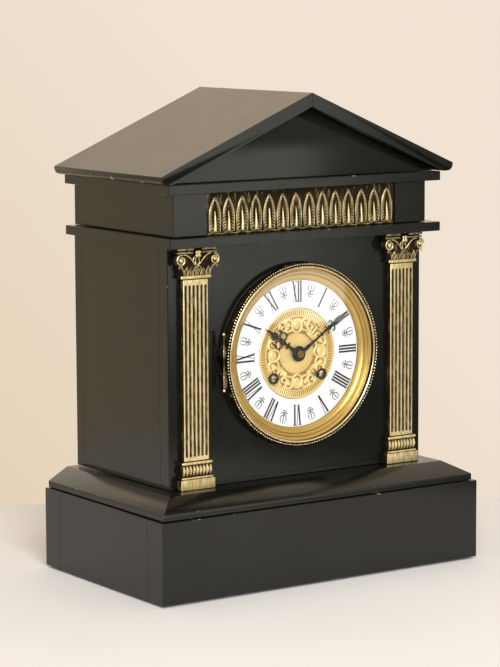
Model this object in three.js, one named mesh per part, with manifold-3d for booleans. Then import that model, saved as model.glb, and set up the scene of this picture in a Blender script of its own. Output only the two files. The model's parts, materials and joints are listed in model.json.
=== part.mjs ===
// A mantel clock in a polished black slate case, shaped like a small temple front.
// Millimetres, +Z up. X runs to the right as the dial is read and +Y runs to the back.
// The origin is on the ground, under the middle of the clock's length and depth.

import * as THREE from "three";
import { mergeVertices } from "three/addons/utils/BufferGeometryUtils.js";
import Module from "manifold-3d";

const wasm = await Module();
wasm.setup();

// Sizes shared by the whole clock

const fit = 0.3; // cement joint between slabs, and the play between pieces that seat on each other
const overrun = 2; // how far a cutting shape runs past what it cuts
const bigSides = 32; // facets of the large turned rings
const midSides = 16;
const smallSides = 10;
const pivotSides = 6;
const ballBands = 4; // rows of facets on the hinge's balls
const curveSteps = 6; // straight pieces in a curve
const lobeSteps = 4;
const leafSteps = 3;
const weldShare = 0.0003; // of the fit: corners nearer than this are one

// The slate case, from the ground up

const foot = { radius: 10, height: 2, chamfer: 0.6, inset: 20 };
const plinth = { width: 300, depth: 175, height: 63, wall: 22 };
const bevelSlab = { ledge: 3.1, edge: 5, rise: 10.2, run: 17.4 };
const body = { width: 239.8, depth: 137.1, height: 186.1, frontWall: 12, sideWall: 10, backWall: 10 };
const stringCourse = { width: 255.7, depth: 153.6, height: 7.6 };
const frieze = { width: 238.7, depth: 144.8, height: 32.7, recessWidth: 178.6, recessDepth: 3 };
const cornice = { width: 256.4, depth: 153.2, height: 7.6 };
const roof = { width: 275.4, depth: 157.3, eaveRise: 6.3, ridgeRise: 65.3, thickness: 9.75, noseRun: 6 };

// Brass on the front of the case

const leaves = { count: 14, pitch: 12.5, width: 11.6, height: 26.6, foot: 2.6, relief: 1.1, back: 1.2 };
const spike = { width: 3, relief: 0.8 };
// Shares of a leaf's height and width
const leafShares = { spike: 0.62, shoulder: 0.55, waist: 0.4, crown: 0.86 };
const pilaster = { centre: 98 };
const blockBase = {
  width: 31, height: 8.2, depth: 7.2, filletWidth: 28.6, filletHeight: 2.6, filletDepth: 6.4,
};
const gadroons = { count: 9, width: 27, height: 8.2, depth: 5.6, swell: 1.2 };
const torus = { width: 28, height: 3, depth: 6.4 };
const shaft = { width: 22.4, depth: 5, flutes: 6, fluteDepth: 1.5, fillet: 0.9 };
const capital = {
  height: 24.6, width: 36, depth: 8.6, abacus: 3.2, neck: 3.4, neckWidth: 28, neckDepth: 6.4,
};
const volute = { radius: 4.7, eye: 1.9, spread: 14.4, drop: 9, depth: 9.4, eyeRelief: 0.9 };
const acanthus = { count: 5, width: 6.2, height: 10, lean: 3.2, thickness: 2 };
const flower = { radius: 3.4, relief: 10.6 };

// The dial and its casing; depths count backwards from the front of the body

const dialHeightShare = 0.51424; // of the body's height
const dialHeight = body.height * dialHeightShare; // dial centre above the foot of the body
const casing = {
  radius: 62, wall: 1.6, depth: 11.5, floor: 1.5, floorRadius: 45, lipRadius: 57.85, lip: 0.3,
};
const flare = { seatRadius: 66, seat: 1, rimRadius: 68.2, rim: 5.2, wall: 1 };
const surround = { outerRadius: 65.4, middleRadius: 63, innerRadius: 60.6, step: 1.9 };
const strap = { inside: 55.4, thickness: 1.5, width: 12, tab: 5.5 };
const bezel = {
  radius: 72.5, flange: 1.1, front: 9.2, inner: 67.7, skirt: 5.5, skirtInner: 68.9, skirtWall: 1.2,
};
const glass = { radius: 68.5, thickness: 2, bevel: 2.6, bevelDepth: 1 };
const hinge = {
  out: 74.3, forward: 7.4, barrel: 1.8, pin: 0.75, bore: 1.2, fixed: 19.7, length: 40, ball: 1.6,
};
const hingeLeaf = { thickness: 1.2, reach: 9 };
const chapter = { innerRadius: 36, outerRadius: 58.6, thickness: 1.6 };
const dialPlate = {
  thickness: 0.8, step: 1.9, centreRadius: 35.6, hole: 3.7, footRadius: 1.4, footCircle: 52,
};
const winding = { x: 22.9, z: 17.9, hole: 2.8, grommet: 4.4, grommetRelief: 0.8 };

// Hands, set at nine minutes past ten

const minutesShown = 9.4;
const hourShown = 10;
const minutesPerHour = 60;
const hoursPerTurn = 12;
const hourHand = { length: 38.7, width: 14.8, hub: 6.4, thickness: 0.7, height: 1.4 };
const hourEyes = { radius: 1.8, aside: 4.6, along: 21 };
const minuteHand = { length: 54.7, width: 9.4, hub: 3.4, thickness: 0.7, height: 3 };
const collet = { radius: 3, thickness: 0.8 };

// Outlines of the hands, as shares of the length and of the width
const hourShares = [
  [0, 0.16], [0.38, 0.14], [0.43, 0.76], [0.5, 1], [0.585, 0.97], [0.67, 0.97], [0.71, 0.57],
  [0.74, 0.26], [0.78, 0.28], [0.94, 0.1],
];
const minuteShares = [
  [0, 0.3], [0.16, 0.32], [0.43, 0.14], [0.46, 0.38], [0.49, 0.14], [0.6, 0.14], [0.62, 1],
  [0.7, 0.96], [0.71, 0.14], [0.79, 0.47], [0.84, 0.42], [0.98, 0.11],
];

// The clockwork: plates, arbors and wheels; places are measured from the dial centre

const plates = { radius: 48, thickness: 2, space: 40 };
const pillar = { radius: 2.5 };
const pillarPlaces = [[0, -43], [41.5, 14], [-36, 25], [20, 38.5]];
const arbor = { radius: 1.2, slim: 0.8, pivot: 0.7, pivotHole: 1.15, shake: 0.3 };
const leafDepth = { wheelTip: 0.8, wheelRoot: 1.5, leafTip: 0.7, leafRoot: 1.15 }; // in modules
// Shares of the pitch from tooth to tooth
const toothShares = { leafTip: 0.2, leafRoot: 0.42, ratchetRise: 0.17, escapeRise: 0.33 };
const palletShare = 0.0875; // of the escape wheel's turn, from its top to a pallet
const betweenPinsShare = 0.5; // of the pitch of the strike pins, from the wheel's right to the first pin
const great = { teeth: 36, module: 1.2, thickness: 1.6, pinion: 6 };
const inter = { teeth: 36, module: 1, thickness: 1.2, pinion: 6 };
const centre = { teeth: 78, module: 0.45, thickness: 1, pinion: 6 };
const third = { teeth: 60, module: 0.4, thickness: 1, pinion: 6 };
const escape = { teeth: 40, radius: 11, depth: 1.7, thickness: 1, height: 28.5 };
const minuteWork = { teeth: 30, module: 0.6, thickness: 1.2, cannon: 10 };
const hourWork = { teeth: 32, thickness: 1.2, pinion: 8 };
const strikePin = {
  teeth: 36, module: 0.66, thickness: 1.2, pinion: 6, pins: 6, pinRadius: 0.7, pinLength: 2.4,
};
const drum = { radius: 19.4, depth: 21, capRadius: 16, capRise: 0.8 };
const level = {
  centre: 1.4, great: 4.7, third: 10.5, vane: 15, inter: 31.2, strikePin: 32.2, escape: 34.5,
};
const windingArbor = { radius: 2.2, square: 3.3, squareLength: 9, boreRadius: 2.6, frontAt: 0.9 };
const ratchet = { radius: 7.5, depth: 1.5, teeth: 16, thickness: 1.5, rearStub: 1.5 };
const click = { length: 13, width: 3, thickness: 1.5, nose: 0.8, pivot: 1.6 };
const crossing = { spokes: 4, rim: 2.2, hub: 3.6, spoke: 2.2 };
const anchor = { rise: 14, arm: 1.6, nib: 0.6, clear: 0.6, thickness: 1.6 };
const crutch = { length: 33, width: 2, thickness: 1.4, fork: 3.2, offset: 3.1, forkHeight: 4 };
const cock = { footX: 10, footRadius: 2.4, bridge: 2.2, height: 8, jaw: 1.6, above: 4 };
const pendulum = { plane: 67, strip: 0.6, stripWidth: 4.6, stripLength: 13, rod: 1.1, overAxis: 1.4 };
const bob = { radius: 13, thickness: 9, rim: 3, nut: 2.6, nutHeight: 3, clear: 3.2 };
const vane = { width: 14, depth: 13, thickness: 0.6 };
const stud = { radius: 1, head: 1.6 };
const pipe = { radius: 3, bore: 2, centreRadius: 1.6 };
const hammer = { x: -43, z: 6, arm: 2, head: 4, headLength: 9, clear: 0.6, level: 88 };
const bell = { radius: 30, wall: 1.5, depth: 21, mouth: 80, post: 2, nut: 4, nutHeight: 3 };
// of the bell's radius and depth
const bellShares = { crown: 0.6, innerCrown: 0.58, shoulder: 0.9, fall: 0.4 };
const bellStand = { x: 14, z: -40, foot: 3.4, radius: 2.2, level: 75, arm: 3 };

// Directions round the dial axis or an arbor, in degrees from the right, counted towards the top
const bearings = { click: 25, stud: 250, strike: 145, strikePin: 100, fly: 75, dialFeet: [90, 210, 330] };

// The back of the case

const rearRing = { radius: 62.3, wall: 1.5, flange: 5.2, thickness: 1.2, shelf: 8.8, inset: 2, hole: 62.8 };
const rearDoor = { radius: 66, thickness: 1, dome: 3.4, domeRadius: 48, domeFoot: 53 };
const rearHinge = { out: 70, barrel: 2, bore: 1.15, pin: 0.8, door: 9.7, length: 28, axisLift: 1.4 };

// Places worked out from the sizes

const rearProud = 2 * fit + rearRing.thickness + rearDoor.thickness + rearDoor.dome;
const rearPlane = (plinth.depth + rearProud) / 2 - rearProud;
const bodyFront = rearPlane - body.depth;
const floorOf = {};
floorOf.plinth = foot.height;
floorOf.bevelSlab = floorOf.plinth + plinth.height;
floorOf.body = floorOf.bevelSlab + bevelSlab.edge + bevelSlab.rise;
floorOf.stringCourse = floorOf.body + body.height;
floorOf.frieze = floorOf.stringCourse + stringCourse.height;
floorOf.cornice = floorOf.frieze + frieze.height;
floorOf.roof = floorOf.cornice + cornice.height;
const frontPlateFace = casing.depth + fit;
const innerFront = frontPlateFace + plates.thickness;
const innerBack = innerFront + plates.space;
const backPlateFace = innerBack + plates.thickness;
const windingPlace = { going: [winding.x, -winding.z], strike: [-winding.x, -winding.z] };
const escapePlace = [0, escape.height];
const anchorPlace = [0, escape.height + anchor.rise];
const pendulumLength = dialHeight + anchorPlace[1] - bob.radius - bob.nutHeight - bob.clear;

// Materials

function material(color, roughness, metalness) {
  return new THREE.MeshStandardMaterial({ color, roughness, metalness });
}

const slate = material(0x1c1d1a, 0.25, 0);
const gilt = material(0xc9993f, 0.3, 1);
const brass = material(0xb08d4a, 0.35, 1);
const patinatedBrass = material(0xa88b52, 0.45, 1);
const steel = material(0x8d8f92, 0.3, 1);
const bluedSteel = material(0x24262c, 0.3, 1);
const bellMetal = material(0xb98f57, 0.25, 1);
const enamel = material(0xf4f4f2, 0.12, 0);
const plateGlass = material(0xdfe8e6, 0.05, 0);
plateGlass.transparent = true;
plateGlass.opacity = 0.3;
const felt = material(0x3a352c, 0.9, 0);

// Solids from three.js geometries

function solidOf(geometry) {
  const bare = geometry.index ? geometry.toNonIndexed() : geometry;
  bare.deleteAttribute("normal");
  bare.deleteAttribute("uv");
  const merged = mergeVertices(bare, fit * weldShare);
  const corners = merged.index.array;
  const kept = [];
  for (let i = 0; i < corners.length; i += 3) {
    const [a, b, c] = [corners[i], corners[i + 1], corners[i + 2]];
    if (a !== b && b !== c && c !== a) kept.push(a, b, c);
  }
  const vertProperties = new Float32Array(merged.attributes.position.array);
  return new wasm.Manifold(new wasm.Mesh({ numProp: 3, vertProperties, triVerts: new Uint32Array(kept) }));
}

const joined = (...solids) => solids.reduce((whole, one) => whole.add(one));

function boxAt([x0, x1], [y0, y1], [z0, z1]) {
  const block = new THREE.BoxGeometry(x1 - x0, y1 - y0, z1 - z0);
  return solidOf(block.translate((x0 + x1) / 2, (y0 + y1) / 2, (z0 + z1) / 2));
}

// A cylinder along Y, from y0 back to y1.
function rodY([x, z], radius, [y0, y1], sides, endRadius = radius) {
  const cylinder = new THREE.CylinderGeometry(endRadius, radius, y1 - y0, sides);
  return solidOf(cylinder.translate(x, (y0 + y1) / 2, z));
}

function rodZ([x, y], radius, [z0, z1], sides) {
  const cylinder = new THREE.CylinderGeometry(radius, radius, z1 - z0, sides).rotateX(Math.PI / 2);
  return solidOf(cylinder.translate(x, y, (z0 + z1) / 2));
}

// A profile drawn in X and Z, given thickness from y0 back to y1.
function plateY(shape, [y0, y1], curveSegments = curveSteps) {
  const plate = new THREE.ExtrudeGeometry(shape, { depth: y1 - y0, bevelEnabled: false, curveSegments });
  return solidOf(plate.rotateX(Math.PI / 2).translate(0, y1, 0));
}

// A profile drawn in Y and Z, drawn out from x0 to x1.
function barX(shape, [x0, x1]) {
  const bar = new THREE.ExtrudeGeometry(shape, { depth: x1 - x0, bevelEnabled: false });
  const turn = new THREE.Matrix4().makeBasis(
    new THREE.Vector3(0, 1, 0),
    new THREE.Vector3(0, 0, 1),
    new THREE.Vector3(1, 0, 0),
  );
  return solidOf(bar.applyMatrix4(turn).translate(x0, 0, 0));
}

// A plan drawn in X and Y, raised from z0 to z1.
function postZ(shape, [z0, z1]) {
  const post = new THREE.ExtrudeGeometry(
    shape,
    { depth: z1 - z0, bevelEnabled: false, curveSegments: lobeSteps },
  );
  return solidOf(post.translate(0, 0, z0));
}

// A ring or disc turned about the Y axis through (x, z); the profile's points are [radius, y].
function turned(profile, sides, [x, z] = [0, 0]) {
  const points = profile.map(([r, y]) => new THREE.Vector2(r, y));
  if (profile[0][0] > 0) points.push(points[0].clone());
  const spin = (line) => solidOf(new THREE.LatheGeometry(line, sides).translate(x, 0, z));
  const made = spin(points);
  return made.volume() > 0 ? made : spin(points.reverse());
}

const shapeOf = (points) => new THREE.Shape(points.map(([x, y]) => new THREE.Vector2(x, y)));
const polar = (radius, angle) => [radius * Math.cos(angle), radius * Math.sin(angle)];
const degrees = (angle) => (angle * Math.PI) / 180;
const plus = ([a, b], [c, d]) => [a + c, b + d];
const minus = ([a, b], [c, d]) => [a - c, b - d];
const bearingOf = ([a, b], [c, d]) => Math.atan2(d - b, c - a);
const past = ([low, high]) => [low - overrun, high + overrun];

function turnShape(points, angle, [x, z] = [0, 0]) {
  const [c, s] = [Math.cos(angle), Math.sin(angle)];
  return points.map(([a, b]) => [x + a * c - b * s, z + a * s + b * c]);
}

const clock = new THREE.Group();
const clockwork = new THREE.Group();
clockwork.position.set(0, bodyFront, floorOf.body + dialHeight);
clock.add(clockwork);

function addTo(group, name, solid, finish) {
  const { vertProperties, triVerts } = solid.getMesh();
  const geometry = new THREE.BufferGeometry();
  geometry.setAttribute("position", new THREE.BufferAttribute(new Float32Array(vertProperties), 3));
  geometry.setIndex(new THREE.BufferAttribute(new Uint32Array(triVerts), 1));
  const flat = geometry.toNonIndexed();
  flat.computeVertexNormals();
  const mesh = new THREE.Mesh(flat, finish);
  mesh.name = name;
  group.add(mesh);
}

// Feet and plinth: four slabs cemented into a box without a floor

function footAt(x, y) {
  const top = foot.height - fit;
  const profile = [
    [0, 0],
    [foot.radius - foot.chamfer, 0],
    [foot.radius, foot.chamfer],
    [foot.radius, top],
    [0, top],
  ];
  const spun = new THREE.LatheGeometry(profile.map(([r, h]) => new THREE.Vector2(r, h)), smallSides);
  return solidOf(spun.rotateX(Math.PI / 2).translate(x, y, 0));
}

function buildPlinth() {
  const front = rearPlane - plinth.depth;
  const half = plinth.width / 2;
  const height = [floorOf.plinth, floorOf.bevelSlab - fit];
  const sideDepth = [front + plinth.wall + fit, rearPlane - plinth.wall - fit];
  addTo(clock, "plinth_front", boxAt([-half, half], [front, front + plinth.wall], height), slate);
  addTo(clock, "plinth_back", boxAt([-half, half], [rearPlane - plinth.wall, rearPlane], height), slate);
  addTo(clock, "plinth_left", boxAt([-half, plinth.wall - half], sideDepth, height), slate);
  addTo(clock, "plinth_right", boxAt([half - plinth.wall, half], sideDepth, height), slate);
  const feet = { left: foot.inset - half, right: half - foot.inset };
  for (const [side, x] of Object.entries(feet)) {
    addTo(clock, `foot_front_${side}`, footAt(x, front + foot.inset), felt);
    addTo(clock, `foot_back_${side}`, footAt(x, rearPlane - foot.inset), felt);
  }
}

// Bevelled slab: flush at the back, sloped to a flat margin round the body on the other three sides

function buildBevelSlab() {
  const half = plinth.width / 2 - bevelSlab.ledge;
  const top = half - bevelSlab.run;
  const front = rearPlane - plinth.depth + bevelSlab.ledge;
  const [low, edge, high] = [0, bevelSlab.edge, bevelSlab.edge + bevelSlab.rise - fit];
  const section = [[-half, low], [half, low], [half, edge], [top, high], [-top, high], [-half, edge]];
  const lifted = section.map(([x, z]) => [x, z + floorOf.bevelSlab]);
  const slab = plateY(shapeOf(lifted), [front, rearPlane]);
  const past = front - overrun;
  const slope = bevelSlab.run / (high - edge);
  const waste = [
    [past, floorOf.bevelSlab + edge - overrun / slope],
    [front + bevelSlab.run + overrun * slope, floorOf.bevelSlab + high + overrun],
    [past, floorOf.bevelSlab + high + overrun],
  ];
  addTo(clock, "bevel_slab", slab.subtract(barX(shapeOf(waste), [-plinth.width, plinth.width])), slate);
}

// Body: four slabs round the clockwork, the front and back ones bored for the dial and the rear door

function buildBody() {
  const half = body.width / 2;
  const height = [floorOf.body, floorOf.stringCourse - fit];
  const centreAt = [0, floorOf.body + dialHeight];
  const frontDepth = [bodyFront, bodyFront + body.frontWall];
  const backDepth = [rearPlane - body.backWall, rearPlane];
  const sideDepth = [frontDepth[1] + fit, backDepth[0] - fit];
  const bore = (radius, depth) => rodY(centreAt, radius, past(depth), bigSides);
  const frontBore = bore(casing.radius + 2 * fit, frontDepth);
  const front = boxAt([-half, half], frontDepth, height).subtract(frontBore);
  const back = boxAt([-half, half], backDepth, height).subtract(bore(rearRing.hole, backDepth));
  addTo(clock, "body_front", front, slate);
  addTo(clock, "body_back", back, slate);
  addTo(clock, "body_left", boxAt([-half, body.sideWall - half], sideDepth, height), slate);
  addTo(clock, "body_right", boxAt([half - body.sideWall, half], sideDepth, height), slate);
}

// Entablature: string course, frieze block with the rebate for the leaf strip, cornice slab

function levelSlab({ width, depth, height }, floor) {
  return boxAt([-width / 2, width / 2], [rearPlane - depth, rearPlane], [floor, floor + height - fit]);
}

function buildEntablature() {
  addTo(clock, "string_course", levelSlab(stringCourse, floorOf.stringCourse), slate);
  const face = rearPlane - frieze.depth;
  const rebate = boxAt(
    [-frieze.recessWidth / 2, frieze.recessWidth / 2],
    [face - overrun, face + frieze.recessDepth],
    past([floorOf.frieze, floorOf.cornice]),
  );
  addTo(clock, "frieze_block", levelSlab(frieze, floorOf.frieze).subtract(rebate), slate);
  addTo(clock, "cornice_slab", levelSlab(cornice, floorOf.cornice), slate);
}

// Pediment: two roof slabs, mitred at the ridge and bedded flat on the cornice, over a three-sided block

function buildPediment() {
  const half = roof.width / 2;
  const slope = (roof.ridgeRise - roof.eaveRise) / half;
  const drop = roof.thickness * Math.hypot(1, slope); // thickness measured straight down
  const bed = floorOf.roof;
  const soffitEnd = (roof.ridgeRise - drop) / slope;
  const depth = [rearPlane - roof.depth, rearPlane];
  for (const [name, side] of [["roof_left", -1], ["roof_right", 1]]) {
    const profile = new THREE.Shape();
    profile.moveTo((side * fit) / 2, bed + roof.ridgeRise - (slope * fit) / 2);
    profile.lineTo(side * half, bed + roof.eaveRise);
    profile.quadraticCurveTo(side * half, bed, side * (half - roof.noseRun), bed);
    profile.lineTo(side * soffitEnd, bed);
    profile.lineTo((side * fit) / 2, bed + roof.ridgeRise - drop - (slope * fit) / 2);
    addTo(clock, name, plateY(profile, depth), slate);
  }
  const play = fit * Math.hypot(1, slope);
  const apex = roof.ridgeRise - drop - play;
  const block = [[-apex / slope, bed], [apex / slope, bed], [0, bed + apex]];
  addTo(clock, "pediment_block", plateY(shapeOf(block), [rearPlane - frieze.depth, rearPlane]), slate);
}

// Leaf strip: a stamped brass band with fourteen pointed leaves, let into the frieze

function buildLeafStrip() {
  const ground = rearPlane - frieze.depth + frieze.recessDepth - fit;
  const face = ground - leaves.back;
  const half = frieze.recessWidth / 2 - fit;
  const strip = boxAt([-half, half], [face, ground], [floorOf.frieze, floorOf.cornice - 2 * fit]);
  const foot = floorOf.frieze + leaves.foot;
  const parts = [strip];
  for (let i = 0; i < leaves.count; i++) {
    const x = (i - (leaves.count - 1) / 2) * leaves.pitch;
    const leaf = new THREE.Shape();
    const waist = leaves.width * leafShares.waist;
    const crown = foot + leaves.height * leafShares.crown;
    const shoulder = foot + leaves.height * leafShares.shoulder;
    leaf.moveTo(x - leaves.width / 2, foot);
    leaf.lineTo(x + leaves.width / 2, foot);
    leaf.lineTo(x + leaves.width / 2, shoulder);
    leaf.quadraticCurveTo(x + waist, crown, x, foot + leaves.height);
    leaf.quadraticCurveTo(x - waist, crown, x - leaves.width / 2, shoulder);
    parts.push(plateY(leaf, [face - leaves.relief, face + fit], leafSteps));
    const rib = [
      [x - spike.width / 2, foot],
      [x + spike.width / 2, foot],
      [x, foot + leaves.height * leafShares.spike],
    ];
    parts.push(plateY(shapeOf(rib), [face - leaves.relief - spike.relief, face]));
  }
  addTo(clock, "leaf_strip", joined(...parts), patinatedBrass);
}

// Pilasters: base, fluted shaft and capital, each a brass casting pinned to the front slab

const pilasterBack = bodyFront - fit;
const shaftFloor = floorOf.body + blockBase.height + blockBase.filletHeight + gadroons.height + torus.height;
const capitalFloor = floorOf.stringCourse - fit - capital.height;

function onFront(width, depth, x) {
  return [[x - width / 2, x + width / 2], [pilasterBack - depth, pilasterBack]];
}

function pilasterBase(x) {
  const blockTop = floorOf.body + blockBase.height;
  const filletTop = blockTop + blockBase.filletHeight;
  const gadroonTop = filletTop + gadroons.height;
  const block = boxAt(...onFront(blockBase.width, blockBase.depth, x), [floorOf.body, blockTop]);
  const fillet = boxAt(...onFront(blockBase.filletWidth, blockBase.filletDepth, x), [blockTop, filletTop]);
  const row = new THREE.Shape();
  const step = gadroons.width / gadroons.count;
  const left = x - gadroons.width / 2;
  const face = pilasterBack - gadroons.depth;
  row.moveTo(left, pilasterBack);
  row.lineTo(left, face);
  for (let i = 0; i < gadroons.count; i++) {
    const start = left + i * step;
    row.quadraticCurveTo(start + step / 2, face - 2 * gadroons.swell, start + step, face);
  }
  row.lineTo(left + gadroons.width, pilasterBack);
  const lobes = postZ(row, [filletTop, gadroonTop]);
  const ring = boxAt(
    ...onFront(torus.width, torus.depth, x),
    [gadroonTop, gadroonTop + torus.height - fit],
  );
  return joined(block, fillet, lobes, ring);
}

function pilasterShaft(x) {
  const plan = new THREE.Shape();
  const left = x - shaft.width / 2;
  const face = pilasterBack - shaft.depth;
  const step = (shaft.width - shaft.fillet) / shaft.flutes;
  plan.moveTo(left, pilasterBack);
  plan.lineTo(left, face);
  for (let i = 0; i < shaft.flutes; i++) {
    const start = left + shaft.fillet + i * step;
    const end = start + step - shaft.fillet;
    plan.lineTo(start, face);
    plan.quadraticCurveTo((start + end) / 2, face + 2 * shaft.fluteDepth, end, face);
  }
  plan.lineTo(left + shaft.width, face);
  plan.lineTo(left + shaft.width, pilasterBack);
  return postZ(plan, [shaftFloor, capitalFloor - fit]);
}

function pilasterCapital(x) {
  const neckTop = capitalFloor + capital.neck;
  const abacusFloor = floorOf.stringCourse - fit - capital.abacus;
  const bottom = (shaft.width + capital.neckWidth) / 4;
  const side = [
    [x - bottom, neckTop],
    [x + bottom, neckTop],
    [x + capital.width / 2 - capital.abacus, abacusFloor],
    [x - capital.width / 2 + capital.abacus, abacusFloor],
  ];
  const parts = [
    boxAt(...onFront(capital.neckWidth, capital.neckDepth, x), [capitalFloor, neckTop]),
    plateY(shapeOf(side), [pilasterBack - capital.neckDepth, pilasterBack]),
    boxAt(...onFront(capital.width, capital.depth, x), [abacusFloor, abacusFloor + capital.abacus - fit]),
    rodY([x, abacusFloor], flower.radius, [pilasterBack - flower.relief, pilasterBack], pivotSides),
  ];
  for (const out of [-1, 1]) {
    const at = [x + out * volute.spread, abacusFloor + capital.abacus - volute.drop];
    const roll = [pilasterBack - volute.depth, pilasterBack];
    parts.push(rodY(at, volute.radius, roll, smallSides));
    parts.push(rodY(at, volute.eye, [roll[0] - volute.eyeRelief, roll[1]], pivotSides));
  }
  const step = capital.neckWidth / acanthus.count;
  const face = pilasterBack - capital.neckDepth;
  for (let i = 0; i < acanthus.count; i++) {
    const middle = x + (i - (acanthus.count - 1) / 2) * step;
    const curl = [
      [face + acanthus.thickness, neckTop],
      [face, neckTop],
      [face - acanthus.lean, neckTop + acanthus.height - acanthus.thickness / 2],
      [face - acanthus.lean, neckTop + acanthus.height],
      [face + acanthus.thickness, neckTop + acanthus.height - acanthus.thickness],
    ];
    parts.push(barX(shapeOf(curl), [middle - acanthus.width / 2, middle + acanthus.width / 2]));
  }
  return joined(...parts);
}

function buildPilasters() {
  for (const [side, sign] of [["left", -1], ["right", 1]]) {
    const x = sign * pilaster.centre;
    addTo(clock, `pilaster_base_${side}`, pilasterBase(x), patinatedBrass);
    addTo(clock, `pilaster_shaft_${side}`, pilasterShaft(x), patinatedBrass);
    addTo(clock, `pilaster_capital_${side}`, pilasterCapital(x), patinatedBrass);
  }
}

// Dial casing: spun brass pan with the stepped gilt surround, and two straps riveted on for the rear ring

const hingeAxis = [-hinge.out, -hinge.forward];
const strapEnd = body.depth - rearRing.inset - body.backWall - fit;

function buildCasing() {
  const inner = casing.radius - casing.wall;
  const profile = [
    [casing.radius, casing.depth],
    [casing.radius, -fit],
    [flare.seatRadius, -fit],
    [flare.seatRadius, -fit - flare.seat],
    [flare.rimRadius, -flare.rim],
    [flare.rimRadius - flare.wall, -flare.rim],
    [surround.outerRadius, surround.step - flare.rim],
    [surround.middleRadius, surround.step - flare.rim],
    [surround.innerRadius, 2 * surround.step - flare.rim],
    [casing.lipRadius, -casing.lip],
    [casing.lipRadius, casing.lip],
    [inner, casing.lip],
    [inner, casing.depth - casing.floor],
    [casing.floorRadius, casing.depth - casing.floor],
    [casing.floorRadius, casing.depth],
  ];
  const parts = [turned(profile, bigSides)];
  for (const out of [-1, 1]) {
    const across = (a, b) => [Math.min(out * a, out * b), Math.max(out * a, out * b)];
    const outside = strap.inside + strap.thickness;
    const wide = [-strap.width / 2, strap.width / 2];
    parts.push(boxAt(across(strap.inside, outside), [casing.depth - casing.floor, strapEnd], wide));
    parts.push(boxAt(across(outside - strap.tab, outside), [strapEnd - strap.thickness, strapEnd], wide));
  }
  const leafFront = -fit - hingeLeaf.thickness;
  const half = hinge.fixed / 2;
  parts.push(boxAt([-hinge.out, hingeLeaf.reach - hinge.out], [leafFront, -fit], [-half, half]));
  const barrelBack = -hinge.forward + hinge.barrel / 2;
  parts.push(boxAt(
    [-hinge.out - hingeLeaf.thickness / 2, -hinge.out + hingeLeaf.thickness / 2],
    [barrelBack, -fit],
    [-half, half],
  ));
  parts.push(rodZ(hingeAxis, hinge.barrel, [-half, half], smallSides));
  const whole = joined(...parts);
  const pinBore = rodZ(hingeAxis, hinge.bore, past([-half, half]), pivotSides);
  addTo(clockwork, "dial_casing", whole.subtract(pinBore), gilt);
}

// Bezel door: a flanged brass ring that holds the glass, with two knuckles on the left

function buildBezel() {
  const flangeBack = -bezel.front + bezel.flange;
  const skirtOuter = bezel.skirtInner + bezel.skirtWall;
  const ring = turned(
    [
      [bezel.inner, flangeBack],
      [bezel.inner, -bezel.front],
      [bezel.radius - bezel.flange / 2, -bezel.front],
      [bezel.radius, flangeBack],
      [skirtOuter, flangeBack],
      [skirtOuter, -bezel.skirt],
      [bezel.skirtInner, -bezel.skirt],
      [bezel.skirtInner, flangeBack],
    ],
    bigSides,
  );
  const parts = [ring];
  const bores = [];
  for (const up of [-1, 1]) {
    const ends = [up * (hinge.fixed / 2 + fit), (up * hinge.length) / 2].sort((a, b) => a - b);
    parts.push(rodZ(hingeAxis, hinge.barrel, ends, smallSides));
    parts.push(boxAt([-hinge.out, -skirtOuter + bezel.skirtWall / 2], [-bezel.front, flangeBack], ends));
    bores.push(rodZ(hingeAxis, hinge.bore, past(ends), pivotSides));
  }
  addTo(clockwork, "bezel_door", joined(...parts).subtract(joined(...bores)), gilt);
  const half = hinge.length / 2;
  const pin = rodZ(hingeAxis, hinge.pin, [-half - hinge.ball, half + hinge.ball], pivotSides);
  const balls = [-1, 1].map((up) => {
    const ball = new THREE.SphereGeometry(hinge.ball, pivotSides, ballBands);
    return solidOf(ball.translate(-hinge.out, -hinge.forward, up * (half + fit + hinge.ball)));
  });
  addTo(clockwork, "bezel_hinge_pin", joined(pin, ...balls), gilt);
}

function buildGlass() {
  const front = -bezel.front + bezel.flange + fit;
  const back = front + glass.thickness;
  const profile = [
    [0, front],
    [glass.radius - glass.bevel, front],
    [glass.radius, front + glass.bevelDepth],
    [glass.radius, back],
    [0, back],
  ];
  addTo(clockwork, "bezel_glass", turned(profile, bigSides), plateGlass);
}

// Dial: enamel chapter ring on a pressed gilt plate with three feet and two winding grommets

function buildDial() {
  const ringFront = casing.lip + fit;
  const ringBack = ringFront + chapter.thickness;
  const ring = [
    [chapter.innerRadius, ringBack],
    [chapter.innerRadius, ringFront],
    [chapter.outerRadius, ringFront],
    [chapter.outerRadius, ringBack],
  ];
  addTo(clockwork, "chapter_ring", turned(ring, bigSides), enamel);

  const plateFront = ringBack + fit;
  const plateBack = plateFront + dialPlate.thickness;
  const raised = plateFront - dialPlate.step;
  const plate = turned(
    [
      [dialPlate.hole, raised],
      [dialPlate.centreRadius, raised],
      [dialPlate.centreRadius, plateFront],
      [chapter.outerRadius, plateFront],
      [chapter.outerRadius, plateBack],
      [dialPlate.hole, plateBack],
    ],
    bigSides,
  );
  const parts = [plate];
  const bores = [];
  for (const place of Object.values(windingPlace)) {
    const sleeve = [raised - winding.grommetRelief, plateBack];
    parts.push(rodY(place, winding.grommet, sleeve, smallSides));
    bores.push(rodY(place, winding.hole, past(sleeve), smallSides));
  }
  for (const bearing of bearings.dialFeet) {
    const place = polar(dialPlate.footCircle, degrees(bearing));
    const reach = [plateFront + dialPlate.thickness / 2, casing.depth - casing.floor - fit];
    parts.push(rodY(place, dialPlate.footRadius, reach, pivotSides));
  }
  addTo(clockwork, "dial_plate", joined(...parts).subtract(joined(...bores)), gilt);
}

// Hands: pierced hour hand on the hour pipe, slim minute hand on the centre arbor, and the collet

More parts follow.
